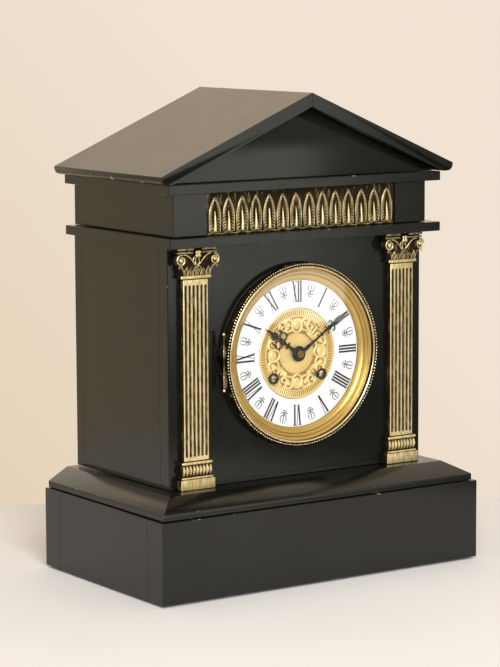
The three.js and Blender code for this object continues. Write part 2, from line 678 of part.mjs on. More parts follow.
function handOutline(hand, shares) {
  const right = shares.map(([along, aside]) => [(aside * hand.width) / 2, along * hand.length]);
  const left = [...right].reverse().map(([aside, along]) => [-aside, along]);
  return [...right, [0, hand.length], ...left];
}

function buildHands() {
  const hourTurn = -((hourShown + minutesShown / minutesPerHour) * 2 * Math.PI) / hoursPerTurn;
  const minuteTurn = (-minutesShown * 2 * Math.PI) / minutesPerHour;
  const hourLevel = [-hourHand.height - hourHand.thickness, -hourHand.height];
  const hourBlade = handOutline(hourHand, hourShares);
  const eyes = [-1, 1].map((out) => {
    const [at] = turnShape([[out * hourEyes.aside, hourEyes.along]], hourTurn);
    return rodY(at, hourEyes.radius, past(hourLevel), pivotSides);
  });
  const hour = joined(
    plateY(shapeOf(turnShape(hourBlade, hourTurn)), hourLevel),
    rodY([0, 0], hourHand.hub, hourLevel, midSides),
  );
  const pipeBore = rodY([0, 0], pipe.radius + fit, past(hourLevel), smallSides);
  addTo(clockwork, "hour_hand", hour.subtract(joined(pipeBore, ...eyes)), bluedSteel);

  const minuteLevel = [-minuteHand.height - minuteHand.thickness, -minuteHand.height];
  const minuteBlade = handOutline(minuteHand, minuteShares);
  const minute = joined(
    plateY(shapeOf(turnShape(minuteBlade, minuteTurn)), minuteLevel),
    rodY([0, 0], minuteHand.hub, minuteLevel, smallSides),
  );
  const arborBore = rodY([0, 0], pipe.centreRadius + fit, past(minuteLevel), smallSides);
  addTo(clockwork, "minute_hand", minute.subtract(arborBore), bluedSteel);

  const colletLevel = [minuteLevel[0] - fit - collet.thickness, minuteLevel[0] - fit];
  const button = rodY([0, 0], collet.radius, colletLevel, smallSides);
  const colletBore = rodY([0, 0], pipe.centreRadius + fit, past(colletLevel), smallSides);
  addTo(clockwork, "hand_collet", button.subtract(colletBore), brass);
}

// Toothed wheels: shares of the tooth pitch give the widths, modules give the depths

function toothed(teeth, tip, root, tipShare, rootShare, turn, [x, z]) {
  const points = [];
  const step = (2 * Math.PI) / teeth;
  for (let i = 0; i < teeth; i++) {
    const angle = turn + i * step;
    const shoulder = (step * (1 - rootShare)) / 2;
    points.push(polar(root, angle - shoulder));
    if (tipShare > 0) {
      const corner = (step * tipShare) / 2;
      points.push(polar(tip, angle - corner), polar(tip, angle + corner));
    } else {
      points.push(polar(tip, angle));
    }
    if (rootShare > 0) points.push(polar(root, angle + shoulder));
  }
  return shapeOf(points.map((point) => plus(point, [x, z])));
}

const pitchRadius = (teeth, module) => (teeth * module) / 2;
const meshDistance = (wheel, leaves) => pitchRadius(wheel.teeth + leaves, wheel.module);

// A wheel with a tooth pointing along `toward`.
function wheelAt(wheel, place, toward, [y0, y1]) {
  const radius = pitchRadius(wheel.teeth, wheel.module);
  const tip = radius + leafDepth.wheelTip * wheel.module;
  const root = radius - leafDepth.wheelRoot * wheel.module;
  return plateY(toothed(wheel.teeth, tip, root, 0, 0, toward, place), [y0, y1]);
}

// A pinion with a gap pointing along `toward`, where the wheel that it meshes with stands.
function pinionAt(leaves, module, place, toward, [y0, y1]) {
  const radius = pitchRadius(leaves, module);
  const tip = radius + leafDepth.leafTip * module;
  const root = radius - leafDepth.leafRoot * module;
  const turn = toward + Math.PI / leaves;
  return plateY(
    toothed(leaves, tip, root, toothShares.leafTip, toothShares.leafRoot, turn, place),
    [y0, y1],
  );
}

// The windows between a wheel's spokes, as solids to cut away.
function crossings(wheel, place, depth) {
  const outer = pitchRadius(wheel.teeth, wheel.module) - crossing.rim;
  const inner = crossing.hub;
  const windows = [];
  for (let i = 0; i < crossing.spokes; i++) {
    const from = (i * 2 * Math.PI) / crossing.spokes;
    const to = from + (2 * Math.PI) / crossing.spokes;
    const outerMargin = crossing.spoke / 2 / outer;
    const innerMargin = crossing.spoke / 2 / inner;
    const window = [];
    const middle = (from + to) / 2;
    window.push(polar(outer, from + outerMargin), polar(outer, middle), polar(outer, to - outerMargin));
    window.push(polar(inner, to - innerMargin), polar(inner, from + innerMargin));
    windows.push(plateY(shapeOf(window.map((point) => plus(point, place))), past(depth)));
  }
  return joined(...windows);
}

function spokedWheelAt(wheel, place, toward, depth) {
  return wheelAt(wheel, place, toward, depth).subtract(crossings(wheel, place, depth));
}

// Where an arbor stands, `a` from one place and `b` from another, left of the line between them.
function standing([x0, z0], a, [x1, z1], b) {
  const apart = Math.hypot(x1 - x0, z1 - z0);
  const along = (a * a - b * b + apart * apart) / (2 * apart);
  const aside = Math.sqrt(a * a - along * along);
  const [ux, uz] = [(x1 - x0) / apart, (z1 - z0) / apart];
  return [x0 + ux * along - uz * aside, z0 + uz * along + ux * aside];
}

const centrePlace = [0, 0];
const interPlace = standing(
  centrePlace,
  meshDistance(inter, inter.pinion),
  windingPlace.going,
  meshDistance(great, great.pinion),
);
const thirdPlace = standing(
  centrePlace,
  meshDistance(centre, centre.pinion),
  escapePlace,
  meshDistance(third, third.pinion),
);
const strikePinBearing = degrees(bearings.strikePin);
const strikePinPlace = plus(
  windingPlace.strike,
  polar(meshDistance(great, great.pinion), strikePinBearing),
);
const flyBearing = degrees(bearings.fly);
const flyPlace = plus(strikePinPlace, polar(meshDistance(strikePin, strikePin.pinion), flyBearing));
const studBearing = degrees(bearings.stud);
const studPlace = polar(meshDistance(minuteWork, minuteWork.cannon), studBearing);
const hourModule = meshDistance(minuteWork, minuteWork.cannon) / ((hourWork.teeth + hourWork.pinion) / 2);

const atLevel = (height, thickness) => [innerFront + height, innerFront + height + thickness];

// The length of a pinion: that of its wheel, with play on both sides.
const wide = ([y0, y1]) => [y0 - 2 * fit, y1 + 2 * fit];

// An arbor between the plates, with a pivot in each.
function arborAt(place, radius = arbor.radius) {
  const body = rodY(place, radius, [innerFront + arbor.shake, innerBack - arbor.shake], pivotSides);
  const pivots = rodY(place, arbor.pivot, [frontPlateFace + fit, backPlateFace - fit], pivotSides);
  return joined(body, pivots);
}

// Plates: the pillars are riveted to the front plate, and the back plate seats on their shoulders

function buildPlates() {
  const pivotPlaces = [interPlace, thirdPlace, escapePlace, strikePinPlace, flyPlace];
  const through = (place, radius, depth, sides) => rodY(place, radius, past(depth), sides);
  const frontLevel = [frontPlateFace, innerFront];
  const backLevel = [innerBack, backPlateFace];
  const wideHoles = [anchorPlace, [hammer.x, hammer.z]];
  const frontPivots = [...pivotPlaces, ...wideHoles];
  const windingHoles = (depth) => {
    const places = Object.values(windingPlace);
    return places.map((place) => through(place, windingArbor.boreRadius, depth, smallSides));
  };

  const pillars = pillarPlaces.map((place) => rodY(
    place,
    pillar.radius,
    [innerFront - fit, innerBack - fit],
    pivotSides,
  ));
  const minuteStud = rodY(
    studPlace,
    stud.radius,
    [minuteWorkLevel[0] - fit - stud.head, frontPlateFace + fit],
    pivotSides,
  );
  const front = joined(rodY([0, 0], plates.radius, frontLevel, bigSides), ...pillars, minuteStud);
  const frontBores = [
    ...windingHoles(frontLevel),
    through(centrePlace, windingArbor.boreRadius, frontLevel, smallSides),
    ...frontPivots.map((place) => through(place, arbor.pivotHole, frontLevel, pivotSides)),
  ];
  addTo(clockwork, "front_plate", front.subtract(joined(...frontBores)), brass);

  const back = rodY([0, 0], plates.radius, backLevel, bigSides);
  const backBores = [
    ...windingHoles(backLevel),
    ...[...pivotPlaces, centrePlace].map((place) => through(place, arbor.pivotHole, backLevel, pivotSides)),
    ...wideHoles.map((place) => through(place, arbor.radius + 2 * fit, backLevel, pivotSides)),
  ];
  addTo(clockwork, "back_plate", back.subtract(joined(...backBores)), brass);
}

// Barrels with their great wheels, the winding arbors with square and ratchet, and the clicks

function barrel(place, toward) {
  const wheelLevel = atLevel(level.great, great.thickness);
  const drumLevel = [wheelLevel[1] - fit, wheelLevel[1] + drum.depth];
  const whole = joined(
    wheelAt(great, place, toward, wheelLevel),
    rodY(place, drum.radius, drumLevel, midSides),
    rodY(place, drum.capRadius, [drumLevel[1] - fit, drumLevel[1] + drum.capRise], midSides),
  );
  const bore = rodY(place, windingArbor.boreRadius, past([wheelLevel[0], drumLevel[1]]), smallSides);
  return whole.subtract(bore);
}

function ratchetOutline(place) {
  const points = [];
  const step = (2 * Math.PI) / ratchet.teeth;
  for (let i = 0; i < ratchet.teeth; i++) {
    points.push(
      polar(ratchet.radius, i * step),
      polar(ratchet.radius - ratchet.depth, (i + toothShares.ratchetRise) * step),
    );
  }
  return shapeOf(points.map((point) => plus(point, place)));
}

const ratchetLevel = [backPlateFace + fit, backPlateFace + fit + ratchet.thickness];

function windingArborAt(place) {
  const squareEnd = windingArbor.frontAt + windingArbor.squareLength;
  const half = windingArbor.square / 2;
  const square = boxAt(
    [place[0] - half, place[0] + half],
    [windingArbor.frontAt, squareEnd],
    [place[1] - half, place[1] + half],
  );
  const shaftSolid = rodY(
    place,
    windingArbor.radius,
    [squareEnd - fit, ratchetLevel[1] + ratchet.rearStub],
    smallSides,
  );
  return joined(square, shaftSolid, plateY(ratchetOutline(place), ratchetLevel));
}

// The click lies with its nose just clear of the ratchet's tips, as it does while the clock is wound.
function clickAt(place, hand) {
  const bearing = hand > 0 ? degrees(bearings.click) : Math.PI - degrees(bearings.click);
  const nose = plus(place, polar(ratchet.radius + fit, bearing));
  const pivotEdge = plus(nose, polar(click.length, bearing + (hand * Math.PI) / 2));
  const outward = polar(click.width, bearing);
  const tip = plus(nose, polar(click.nose, bearing + (hand * Math.PI) / 4));
  const beam = [nose, tip, plus(pivotEdge, outward), pivotEdge];
  const flat = [ratchetLevel[0], ratchetLevel[0] + click.thickness];
  const pivotAt = plus(pivotEdge, polar(click.width / 2, bearing));
  const washer = [flat[0], flat[1] + fit];
  return joined(plateY(shapeOf(beam), flat), rodY(pivotAt, click.pivot, washer, pivotSides));
}

function buildBarrels() {
  const goingToward = bearingOf(windingPlace.going, interPlace);
  addTo(clockwork, "going_barrel", barrel(windingPlace.going, goingToward), brass);
  addTo(clockwork, "strike_barrel", barrel(windingPlace.strike, strikePinBearing), brass);
  addTo(clockwork, "going_winding_arbor", windingArborAt(windingPlace.going), steel);
  addTo(clockwork, "strike_winding_arbor", windingArborAt(windingPlace.strike), steel);
  addTo(clockwork, "going_click", clickAt(windingPlace.going, 1), steel);
  addTo(clockwork, "strike_click", clickAt(windingPlace.strike, -1), steel);
}

// Going train: intermediate wheel, centre arbor with its friction-tight cannon pinion, third and escape wheel

const minuteWorkLevel = [frontPlateFace - 4 * fit - minuteWork.thickness, frontPlateFace - 4 * fit];
const hourWorkLevel = [minuteWorkLevel[0] - 2 * fit - hourWork.thickness, minuteWorkLevel[0] - 2 * fit];

function buildGoingTrain() {
  const greatLevel = atLevel(level.great, great.thickness);
  const interLevel = atLevel(level.inter, inter.thickness);
  const centreLevel = atLevel(level.centre, centre.thickness);
  const thirdLevel = atLevel(level.third, third.thickness);
  const escapeLevel = atLevel(level.escape, escape.thickness);
  const interSolid = joined(
    arborAt(interPlace),
    pinionAt(
      great.pinion,
      great.module,
      interPlace,
      bearingOf(interPlace, windingPlace.going),
      wide(greatLevel),
    ),
    spokedWheelAt(inter, interPlace, bearingOf(interPlace, centrePlace), interLevel),
  );
  addTo(clockwork, "intermediate_wheel", interSolid, brass);

  const minuteEnd = -minuteHand.height - minuteHand.thickness - collet.thickness - 3 * fit;
  const centreSolid = joined(
    rodY(centrePlace, pipe.centreRadius, [minuteEnd, innerBack - arbor.shake], smallSides),
    rodY(centrePlace, arbor.pivot, [innerBack - overrun, backPlateFace - fit], pivotSides),
    pinionAt(inter.pinion, inter.module, centrePlace, bearingOf(centrePlace, interPlace), wide(interLevel)),
    spokedWheelAt(centre, centrePlace, bearingOf(centrePlace, thirdPlace), centreLevel),
    pinionAt(minuteWork.cannon, minuteWork.module, centrePlace, studBearing, minuteWorkLevel),
  );
  addTo(clockwork, "centre_arbor", centreSolid, brass);

  const thirdSolid = joined(
    arborAt(thirdPlace, arbor.slim),
    pinionAt(
      centre.pinion,
      centre.module,
      thirdPlace,
      bearingOf(thirdPlace, centrePlace),
      wide(centreLevel),
    ),
    spokedWheelAt(third, thirdPlace, bearingOf(thirdPlace, escapePlace), thirdLevel),
  );
  addTo(clockwork, "third_wheel", thirdSolid, brass);

  const teeth = [];
  const step = (2 * Math.PI) / escape.teeth;
  for (let i = 0; i < escape.teeth; i++) {
    const angle = Math.PI / 2 + i * step;
    teeth.push(plus(polar(escape.radius, angle), escapePlace));
    teeth.push(plus(
      polar(escape.radius - escape.depth, angle + step * toothShares.escapeRise),
      escapePlace,
    ));
  }
  const escapeSolid = joined(
    arborAt(escapePlace, arbor.slim),
    pinionAt(third.pinion, third.module, escapePlace, bearingOf(escapePlace, thirdPlace), wide(thirdLevel)),
    plateY(shapeOf(teeth), escapeLevel),
  );
  addTo(clockwork, "escape_wheel", escapeSolid, brass);
}

// Motion work under the dial: minute wheel and pinion on a stud, hour wheel with the hour hand's pipe

function buildMotionWork() {
  const minuteSolid = joined(
    wheelAt(minuteWork, studPlace, bearingOf(studPlace, centrePlace), minuteWorkLevel),
    pinionAt(
      hourWork.pinion,
      hourModule,
      studPlace,
      bearingOf(studPlace, centrePlace),
      [hourWorkLevel[0], minuteWorkLevel[0] + fit],
    ),
  );
  const studBore = rodY(
    studPlace,
    stud.radius + 2 * fit,
    past([hourWorkLevel[0], minuteWorkLevel[1]]),
    pivotSides,
  );
  addTo(clockwork, "minute_wheel", minuteSolid.subtract(studBore), brass);

  const hourWheel = { teeth: hourWork.teeth, module: hourModule };
  const pipeEnd = -hourHand.height - hourHand.thickness - fit;
  const hourSolid = joined(
    wheelAt(hourWheel, centrePlace, studBearing, hourWorkLevel),
    rodY(centrePlace, pipe.radius, [pipeEnd, hourWorkLevel[0] + fit], smallSides),
  );
  const pipeBore = rodY(centrePlace, pipe.bore, past([pipeEnd, hourWorkLevel[1]]), smallSides);
  addTo(clockwork, "hour_wheel", hourSolid.subtract(pipeBore), brass);
}

// Anchor escapement: anchor and crutch on one arbor, hung pendulum, cock that carries both

function buildEscapement() {
  const pallets = atLevel(level.escape - (anchor.thickness - escape.thickness) / 2, anchor.thickness);
  const spread = palletShare * 2 * Math.PI;
  const reach = escape.radius + anchor.clear;
  const left = plus(escapePlace, polar(reach, Math.PI / 2 + spread));
  const right = plus(escapePlace, polar(reach, Math.PI / 2 - spread));
  const [px, pz] = anchorPlace;
  const outline = [
    [right[0] - anchor.nib / 2, right[1]],
    [right[0] + anchor.nib / 2, right[1]],
    [right[0] + anchor.arm, right[1] + anchor.arm],
    [px + anchor.arm, pz + anchor.arm],
    [px - anchor.arm, pz + anchor.arm],
    [left[0] - anchor.arm, left[1] + anchor.arm],
    [left[0] - anchor.nib / 2, left[1]],
    [left[0] + anchor.nib / 2, left[1]],
    [px, pz - anchor.arm],
  ];
  const crutchAt = backPlateFace + crutch.offset;
  const crutchLevel = [crutchAt - crutch.thickness, crutchAt];
  const forkRear = pendulum.plane + crutch.fork;
  const forkFloor = pz - crutch.length;
  const slot = pendulum.rod + fit;
  const cockFace = backPlateFace + fit + cock.height - cock.bridge;
  const anchorSolid = joined(
    plateY(shapeOf(outline), pallets),
    rodY(anchorPlace, arbor.radius, [innerFront + arbor.shake, cockFace - arbor.shake], pivotSides),
    rodY(anchorPlace, arbor.pivot, [frontPlateFace + fit, cockFace + cock.bridge - fit], pivotSides),
    boxAt([px - crutch.width / 2, px + crutch.width / 2], crutchLevel, [forkFloor, pz]),
    boxAt(
      [px - slot - crutch.width, px + slot + crutch.width],
      crutchLevel,
      [forkFloor - crutch.forkHeight, forkFloor + fit],
    ),
    boxAt(
      [px - slot - crutch.width, px - slot],
      [crutchLevel[0], forkRear],
      [forkFloor - crutch.forkHeight, forkFloor],
    ),
    boxAt(
      [px + slot, px + slot + crutch.width],
      [crutchLevel[0], forkRear],
      [forkFloor - crutch.forkHeight, forkFloor],
    ),
  );
  addTo(clockwork, "anchor", anchorSolid, steel);

  const feet = [-1, 1].map((out) =>
    rodY(
      [px + out * cock.footX, pz - cock.above],
      cock.footRadius,
      [backPlateFace + fit, cockFace + fit],
      pivotSides,
    ),
  );
  const bridgeLevel = [cockFace, cockFace + cock.bridge];
  const bridge = boxAt(
    [px - cock.footX - cock.footRadius, px + cock.footX + cock.footRadius],
    bridgeLevel,
    [pz - cock.above - cock.footRadius, pz + cock.above],
  );
  const studDepth = [bridgeLevel[1] - fit, pendulum.plane + pendulum.stripWidth / 2];
  const jawGap = pendulum.strip / 2 + fit;
  const jaws = [-1, 1].map((out) => {
    const sides = [px + out * jawGap, px + out * (jawGap + cock.jaw)].sort((a, b) => a - b);
    return boxAt(sides, studDepth, [pz, pz + cock.above]);
  });
  const cap = boxAt(
    [px - jawGap - cock.jaw, px + jawGap + cock.jaw],
    studDepth,
    [pz + pendulum.overAxis + fit, pz + cock.above],
  );
  const pivotBore = rodY(
    anchorPlace,
    arbor.pivotHole,
    [cockFace - overrun, bridgeLevel[1] + fit],
    pivotSides,
  );
  addTo(clockwork, "suspension_cock", joined(bridge, ...feet, ...jaws, cap).subtract(pivotBore), brass);

  const half = pendulum.stripWidth / 2;
  const strip = boxAt(
    [px - pendulum.strip / 2, px + pendulum.strip / 2],
    [pendulum.plane - half, pendulum.plane + half],
    [pz - pendulum.stripLength, pz + pendulum.overAxis],
  );
  const bobAt = pz - pendulumLength;
  const rod = rodZ(
    [px, pendulum.plane],
    pendulum.rod,
    [bobAt - bob.radius - bob.nutHeight, pz - pendulum.stripLength + overrun],
    pivotSides,
  );
  const lens = turned(
    [
      [0, pendulum.plane - bob.thickness / 2],
      [bob.radius - bob.rim, pendulum.plane - bob.thickness / 2 + fit],
      [bob.radius, pendulum.plane],
      [bob.radius - bob.rim, pendulum.plane + bob.thickness / 2 - fit],
      [0, pendulum.plane + bob.thickness / 2],
    ],
    midSides,
    [px, bobAt],
  );
  const nut = rodZ(
    [px, pendulum.plane],
    bob.nut,
    [bobAt - bob.radius - bob.nutHeight, bobAt - bob.radius + fit],
    smallSides,
  );
  addTo(clockwork, "pendulum", joined(strip, rod, lens, nut), brass);
}

// Strike: pin wheel, fly, hammer on its arbor, and the bell on its stand behind the pendulum

function buildStrike() {
  const greatLevel = atLevel(level.great, great.thickness);
  const pinLevel = atLevel(level.strikePin, strikePin.thickness);
    const pins = [];
  const pinCircle = pitchRadius(strikePin.teeth, strikePin.module) - crossing.rim / 2;
  for (let i = 0; i < strikePin.pins; i++) {
    const place = plus(
      strikePinPlace,
      polar(pinCircle - strikePin.pinRadius, ((i + betweenPinsShare) * 2 * Math.PI) / strikePin.pins),
    );
    pins.push(rodY(
      place,
      strikePin.pinRadius,
      [pinLevel[0] - strikePin.pinLength, pinLevel[0] + fit],
      pivotSides,
    ));
  }
  const pinSolid = joined(
    arborAt(strikePinPlace),
    pinionAt(
      great.pinion,
      great.module,
      strikePinPlace,
      bearingOf(strikePinPlace, windingPlace.strike),
      wide(greatLevel),
    ),
    wheelAt(strikePin, strikePinPlace, flyBearing, pinLevel),
    ...pins,
  );
  addTo(clockwork, "pin_wheel", pinSolid, brass);

  const vaneLevel = atLevel(level.vane, vane.depth);
  const flySolid = joined(
    arborAt(flyPlace, arbor.slim),
    pinionAt(
      strikePin.pinion,
      strikePin.module,
      flyPlace,
      bearingOf(flyPlace, strikePinPlace),
      wide(pinLevel),
    ),
    boxAt(
      [flyPlace[0] - vane.width / 2, flyPlace[0] + vane.width / 2],
      vaneLevel,
      [flyPlace[1] - vane.thickness / 2, flyPlace[1] + vane.thickness / 2],
    ),
  );
  addTo(clockwork, "fly", flySolid, brass);

  const place = [hammer.x, hammer.z];
  const strike = degrees(bearings.strike);
  const headMiddle = polar(bell.radius + hammer.clear + hammer.headLength / 2, strike);
  const armLevel = [hammer.level - hammer.arm / 2, hammer.level + hammer.arm / 2];
  const away = bearingOf(place, headMiddle);
  const side = polar(hammer.arm / 2, away + Math.PI / 2);
  const arm = [minus(place, side), minus(headMiddle, side), plus(headMiddle, side), plus(place, side)];
  const headSolid = new THREE.CylinderGeometry(hammer.head, hammer.head, hammer.headLength, smallSides)
    .rotateX(Math.PI / 2)
    .rotateY(Math.PI / 2 - strike)
    .translate(headMiddle[0], hammer.level, headMiddle[1]);
  const tailLevel = [pinLevel[0] - strikePin.pinLength, pinLevel[0] - strikePin.pinLength + hammer.arm];
  const tailEnd = pinCircle + 2 * strikePin.pinRadius;
  const toPins = bearingOf(place, strikePinPlace);
  const tailReach = Math.hypot(place[0] - strikePinPlace[0], place[1] - strikePinPlace[1]) - tailEnd;
  const across = polar(hammer.arm / 2, toPins + Math.PI / 2);
  const tailTip = plus(place, polar(tailReach, toPins));
  const tail = [minus(place, across), minus(tailTip, across), plus(tailTip, across), plus(place, across)];
  const hammerSolid = joined(
    rodY(place, arbor.radius, [innerFront + arbor.shake, armLevel[1]], pivotSides),
    rodY(place, arbor.pivot, [frontPlateFace + fit, innerFront + overrun], pivotSides),
    plateY(shapeOf(arm), armLevel),
    plateY(shapeOf(tail), tailLevel),
    solidOf(headSolid),
  );
  addTo(clockwork, "hammer", hammerSolid, steel);

  const bellBack = bell.mouth + bell.depth;
  const shoulderAt = bellBack - bell.depth * bellShares.fall;
  const inner = bell.radius - bell.wall;
  const bellSolid = turned(
    [
      [bell.post + fit, bellBack],
      [bell.radius * bellShares.crown, bellBack - bell.wall],
      [bell.radius * bellShares.shoulder, shoulderAt],
      [bell.radius, bell.mouth],
      [inner, bell.mouth],
      [inner * bellShares.shoulder, shoulderAt - bell.wall / 2],
      [inner * bellShares.innerCrown, bellBack - 2 * bell.wall],
      [bell.post + fit, bellBack - bell.wall],
    ],
    midSides,
  );
  addTo(clockwork, "bell", bellSolid, bellMetal);

  const foot = [bellStand.x, bellStand.z];
  const armBack = bellStand.level + bellStand.arm;
  const lean = bearingOf(foot, [0, 0]);
  const width = polar(bellStand.radius, lean + Math.PI / 2);
  const standArm = [minus(foot, width), minus([0, 0], width), width, plus(foot, width)];
  const stand = joined(
    rodY(foot, bellStand.foot, [backPlateFace + fit, backPlateFace + fit + bellStand.foot], smallSides),
    rodY(foot, bellStand.radius, [backPlateFace + fit, armBack], pivotSides),
    plateY(shapeOf(standArm), [bellStand.level, armBack]),
    rodY([0, 0], bellStand.radius, [bellStand.level, armBack], smallSides),
    rodY([0, 0], bell.post, [armBack - fit, bellBack + bell.nutHeight], smallSides),
    rodY([0, 0], bell.nut, [bellBack + fit, bellBack + bell.nutHeight], pivotSides),
    rodY(
      [0, 0],
      bell.nut,
      [bellBack - bell.wall - fit - bell.nutHeight, bellBack - bell.wall - fit],
      smallSides,
    ),
  );
  addTo(clockwork, "bell_stand", stand, steel);
}

// Back of the case: the ring that the straps draw against the back slab, and the round door on it

function buildRear() {
  const tubeFront = strapEnd + fit;
  const flangeFront = body.depth + fit;
  const flangeBack = flangeFront + rearRing.thickness;
  const inner = rearRing.radius - rearRing.wall;
  const axis = [rearHinge.out, flangeBack + rearHinge.axisLift];
  const ring = turned(
    [
      [rearRing.radius, tubeFront],
      [rearRing.radius, flangeFront],
      [rearRing.radius + rearRing.flange, flangeFront],
      [rearRing.radius + rearRing.flange, flangeBack],
      [inner, flangeBack],
      [inner, tubeFront + rearRing.thickness],
      [inner - rearRing.shelf, tubeFront + rearRing.thickness],
      [inner - rearRing.shelf, tubeFront],
    ],
    bigSides,
  );
  const fixedEnds = [-1, 1].map((up) => [
    up * (rearHinge.door / 2 + fit),
    (up * rearHinge.length) / 2,
  ].sort((a, b) => a - b));
  const knuckles = fixedEnds.map((ends) =>
    joined(
      rodZ(axis, rearHinge.barrel, ends, smallSides),
      boxAt([rearRing.radius, rearHinge.out], [flangeFront, flangeBack], ends),
    ),
  );
  const half = rearHinge.length / 2;
  const pin = rodZ(axis, rearHinge.pin, [-half, half], pivotSides);
  addTo(clockwork, "rear_ring", joined(ring, ...knuckles, pin), brass);

  const doorFront = flangeBack + fit;
  const doorBack = doorFront + rearDoor.thickness;
  const disc = turned(
    [
      [0, doorFront + rearDoor.dome],
      [rearDoor.domeRadius - rearDoor.thickness, doorFront + rearDoor.dome],
      [rearDoor.domeFoot - rearDoor.thickness, doorFront],
      [rearDoor.radius, doorFront],
      [rearDoor.radius, doorBack],
      [rearDoor.domeFoot, doorBack],
      [rearDoor.domeRadius, doorBack + rearDoor.dome],
      [0, doorBack + rearDoor.dome],
    ],
    bigSides,
  );
  const ends = [-rearHinge.door / 2, rearHinge.door / 2];
  const knuckle = joined(
    rodZ(axis, rearHinge.barrel, ends, smallSides),
    boxAt([rearDoor.radius - rearHinge.barrel, rearHinge.out], [doorFront, doorBack], ends),
  );
  const bore = rodZ(axis, rearHinge.bore, past(ends), smallSides);
  addTo(clockwork, "rear_door", joined(disc, knuckle).subtract(bore), brass);
}

buildPlinth();
buildBevelSlab();
buildBody();
buildEntablature();
buildPediment();
buildLeafStrip();
buildPilasters();
buildCasing();
buildBezel();
buildGlass();
buildDial();
buildHands();
buildPlates();
buildBarrels();
buildGoingTrain();
buildMotionWork();
buildEscapement();
buildStrike();
buildRear();

export default clock;
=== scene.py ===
import json
import math

import bmesh
import bpy
from mathutils import Matrix, Vector

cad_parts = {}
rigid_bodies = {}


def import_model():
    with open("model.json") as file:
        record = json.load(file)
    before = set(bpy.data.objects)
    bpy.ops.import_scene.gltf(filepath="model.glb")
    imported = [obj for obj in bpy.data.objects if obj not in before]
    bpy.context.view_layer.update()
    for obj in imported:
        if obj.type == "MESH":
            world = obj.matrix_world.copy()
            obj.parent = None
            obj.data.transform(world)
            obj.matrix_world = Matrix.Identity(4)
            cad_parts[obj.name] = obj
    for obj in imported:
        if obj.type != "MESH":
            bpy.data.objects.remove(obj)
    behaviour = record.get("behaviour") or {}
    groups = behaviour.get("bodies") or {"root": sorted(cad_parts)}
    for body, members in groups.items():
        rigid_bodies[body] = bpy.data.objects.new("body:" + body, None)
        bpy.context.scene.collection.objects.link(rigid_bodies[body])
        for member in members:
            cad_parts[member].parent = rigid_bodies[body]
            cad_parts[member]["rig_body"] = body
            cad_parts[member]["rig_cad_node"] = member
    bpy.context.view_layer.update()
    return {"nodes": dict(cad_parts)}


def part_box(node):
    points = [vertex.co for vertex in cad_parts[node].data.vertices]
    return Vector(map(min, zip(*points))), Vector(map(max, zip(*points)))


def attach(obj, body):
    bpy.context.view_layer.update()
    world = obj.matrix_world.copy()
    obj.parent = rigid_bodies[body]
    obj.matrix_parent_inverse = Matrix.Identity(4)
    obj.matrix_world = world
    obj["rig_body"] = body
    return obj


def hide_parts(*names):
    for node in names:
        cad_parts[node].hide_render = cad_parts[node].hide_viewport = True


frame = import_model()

# The table and the room
# The clock stands on one flat sheet of pale cotton, in a room that the world draws: cream walls
# behind it and at its sides, and a darker room in front, which the polished slate mirrors.

MM = 0.001


def colour(code):
    """An sRGB hex value as a linear colour."""
    parts = [int(code[i:i + 2], 16) / 255 for i in (1, 3, 5)]
    return (*[c / 12.92 if c <= 0.04045 else ((c + 0.055) / 1.055) ** 2.4 for c in parts], 1)


def set_inputs(node, inputs):
    """Gives a node's sockets their values, or their links from other nodes."""
    for name, value in inputs.items():
        if isinstance(value, bpy.types.NodeSocket):
            node.id_data.links.new(value, node.inputs[name])
        else:
            node.inputs[name].default_value = value


def add_node(tree, kind, inputs={}, **settings):
    """Adds a node with its settings, values and links, and returns its output sockets.

    Sockets go by name or by place. In a Map Range, 1 and 2 are the old limits, 3 and 4 the new
    ones. In a Mix of colours, 0 is the share and 6 and 7 are the colours.
    """
    made = tree.nodes.new(kind)
    for name, value in settings.items():
        setattr(made, name, value)
    set_inputs(made, inputs)
    return made.outputs


def new_material(name):
    """A node material, its tree and Principled shader, and the place on the piece as a socket."""
    made = bpy.data.materials.new(name)
    made.use_nodes = True
    tree = made.node_tree
    tree.nodes.clear()
    surface = add_node(tree, "ShaderNodeBsdfPrincipled")[0]
    add_node(tree, "ShaderNodeOutputMaterial", {"Surface": surface})
    place = add_node(tree, "ShaderNodeTexCoord")["Object"]
    return made, tree, surface.node, place


def mottled(tree, place, size, detail, low, high):
    """A cloudy pattern of a size in millimetres, and a colour that goes with it from low to high."""
    cloud = {"Vector": place, "Scale": 1 / (size * MM), "Detail": detail}
    cloud = add_node(tree, "ShaderNodeTexNoise", cloud)[0]
    tones = {0: cloud, 6: colour(low), 7: colour(high)}
    return cloud, add_node(tree, "ShaderNodeMix", tones, data_type="RGBA")[2]


def deselect_all():
    """Leaves no object selected, because an operator acts on every one that is."""
    bpy.ops.object.select_all(action="DESELECT")


def set_in_mesh():
    """Moves the active object's place, turn and size into its mesh."""
    bpy.ops.object.transform_apply(location=True, rotation=True, scale=True)


scene = bpy.context.scene
scene.view_settings.view_transform = "Standard"

world = bpy.data.worlds.new("room")
scene.world = world
world.use_nodes = True
room = world.node_tree
room.nodes.clear()
toward = add_node(room, "ShaderNodeTexCoord")["Generated"]
across, deep, up = add_node(room, "ShaderNodeSeparateXYZ", {0: toward})

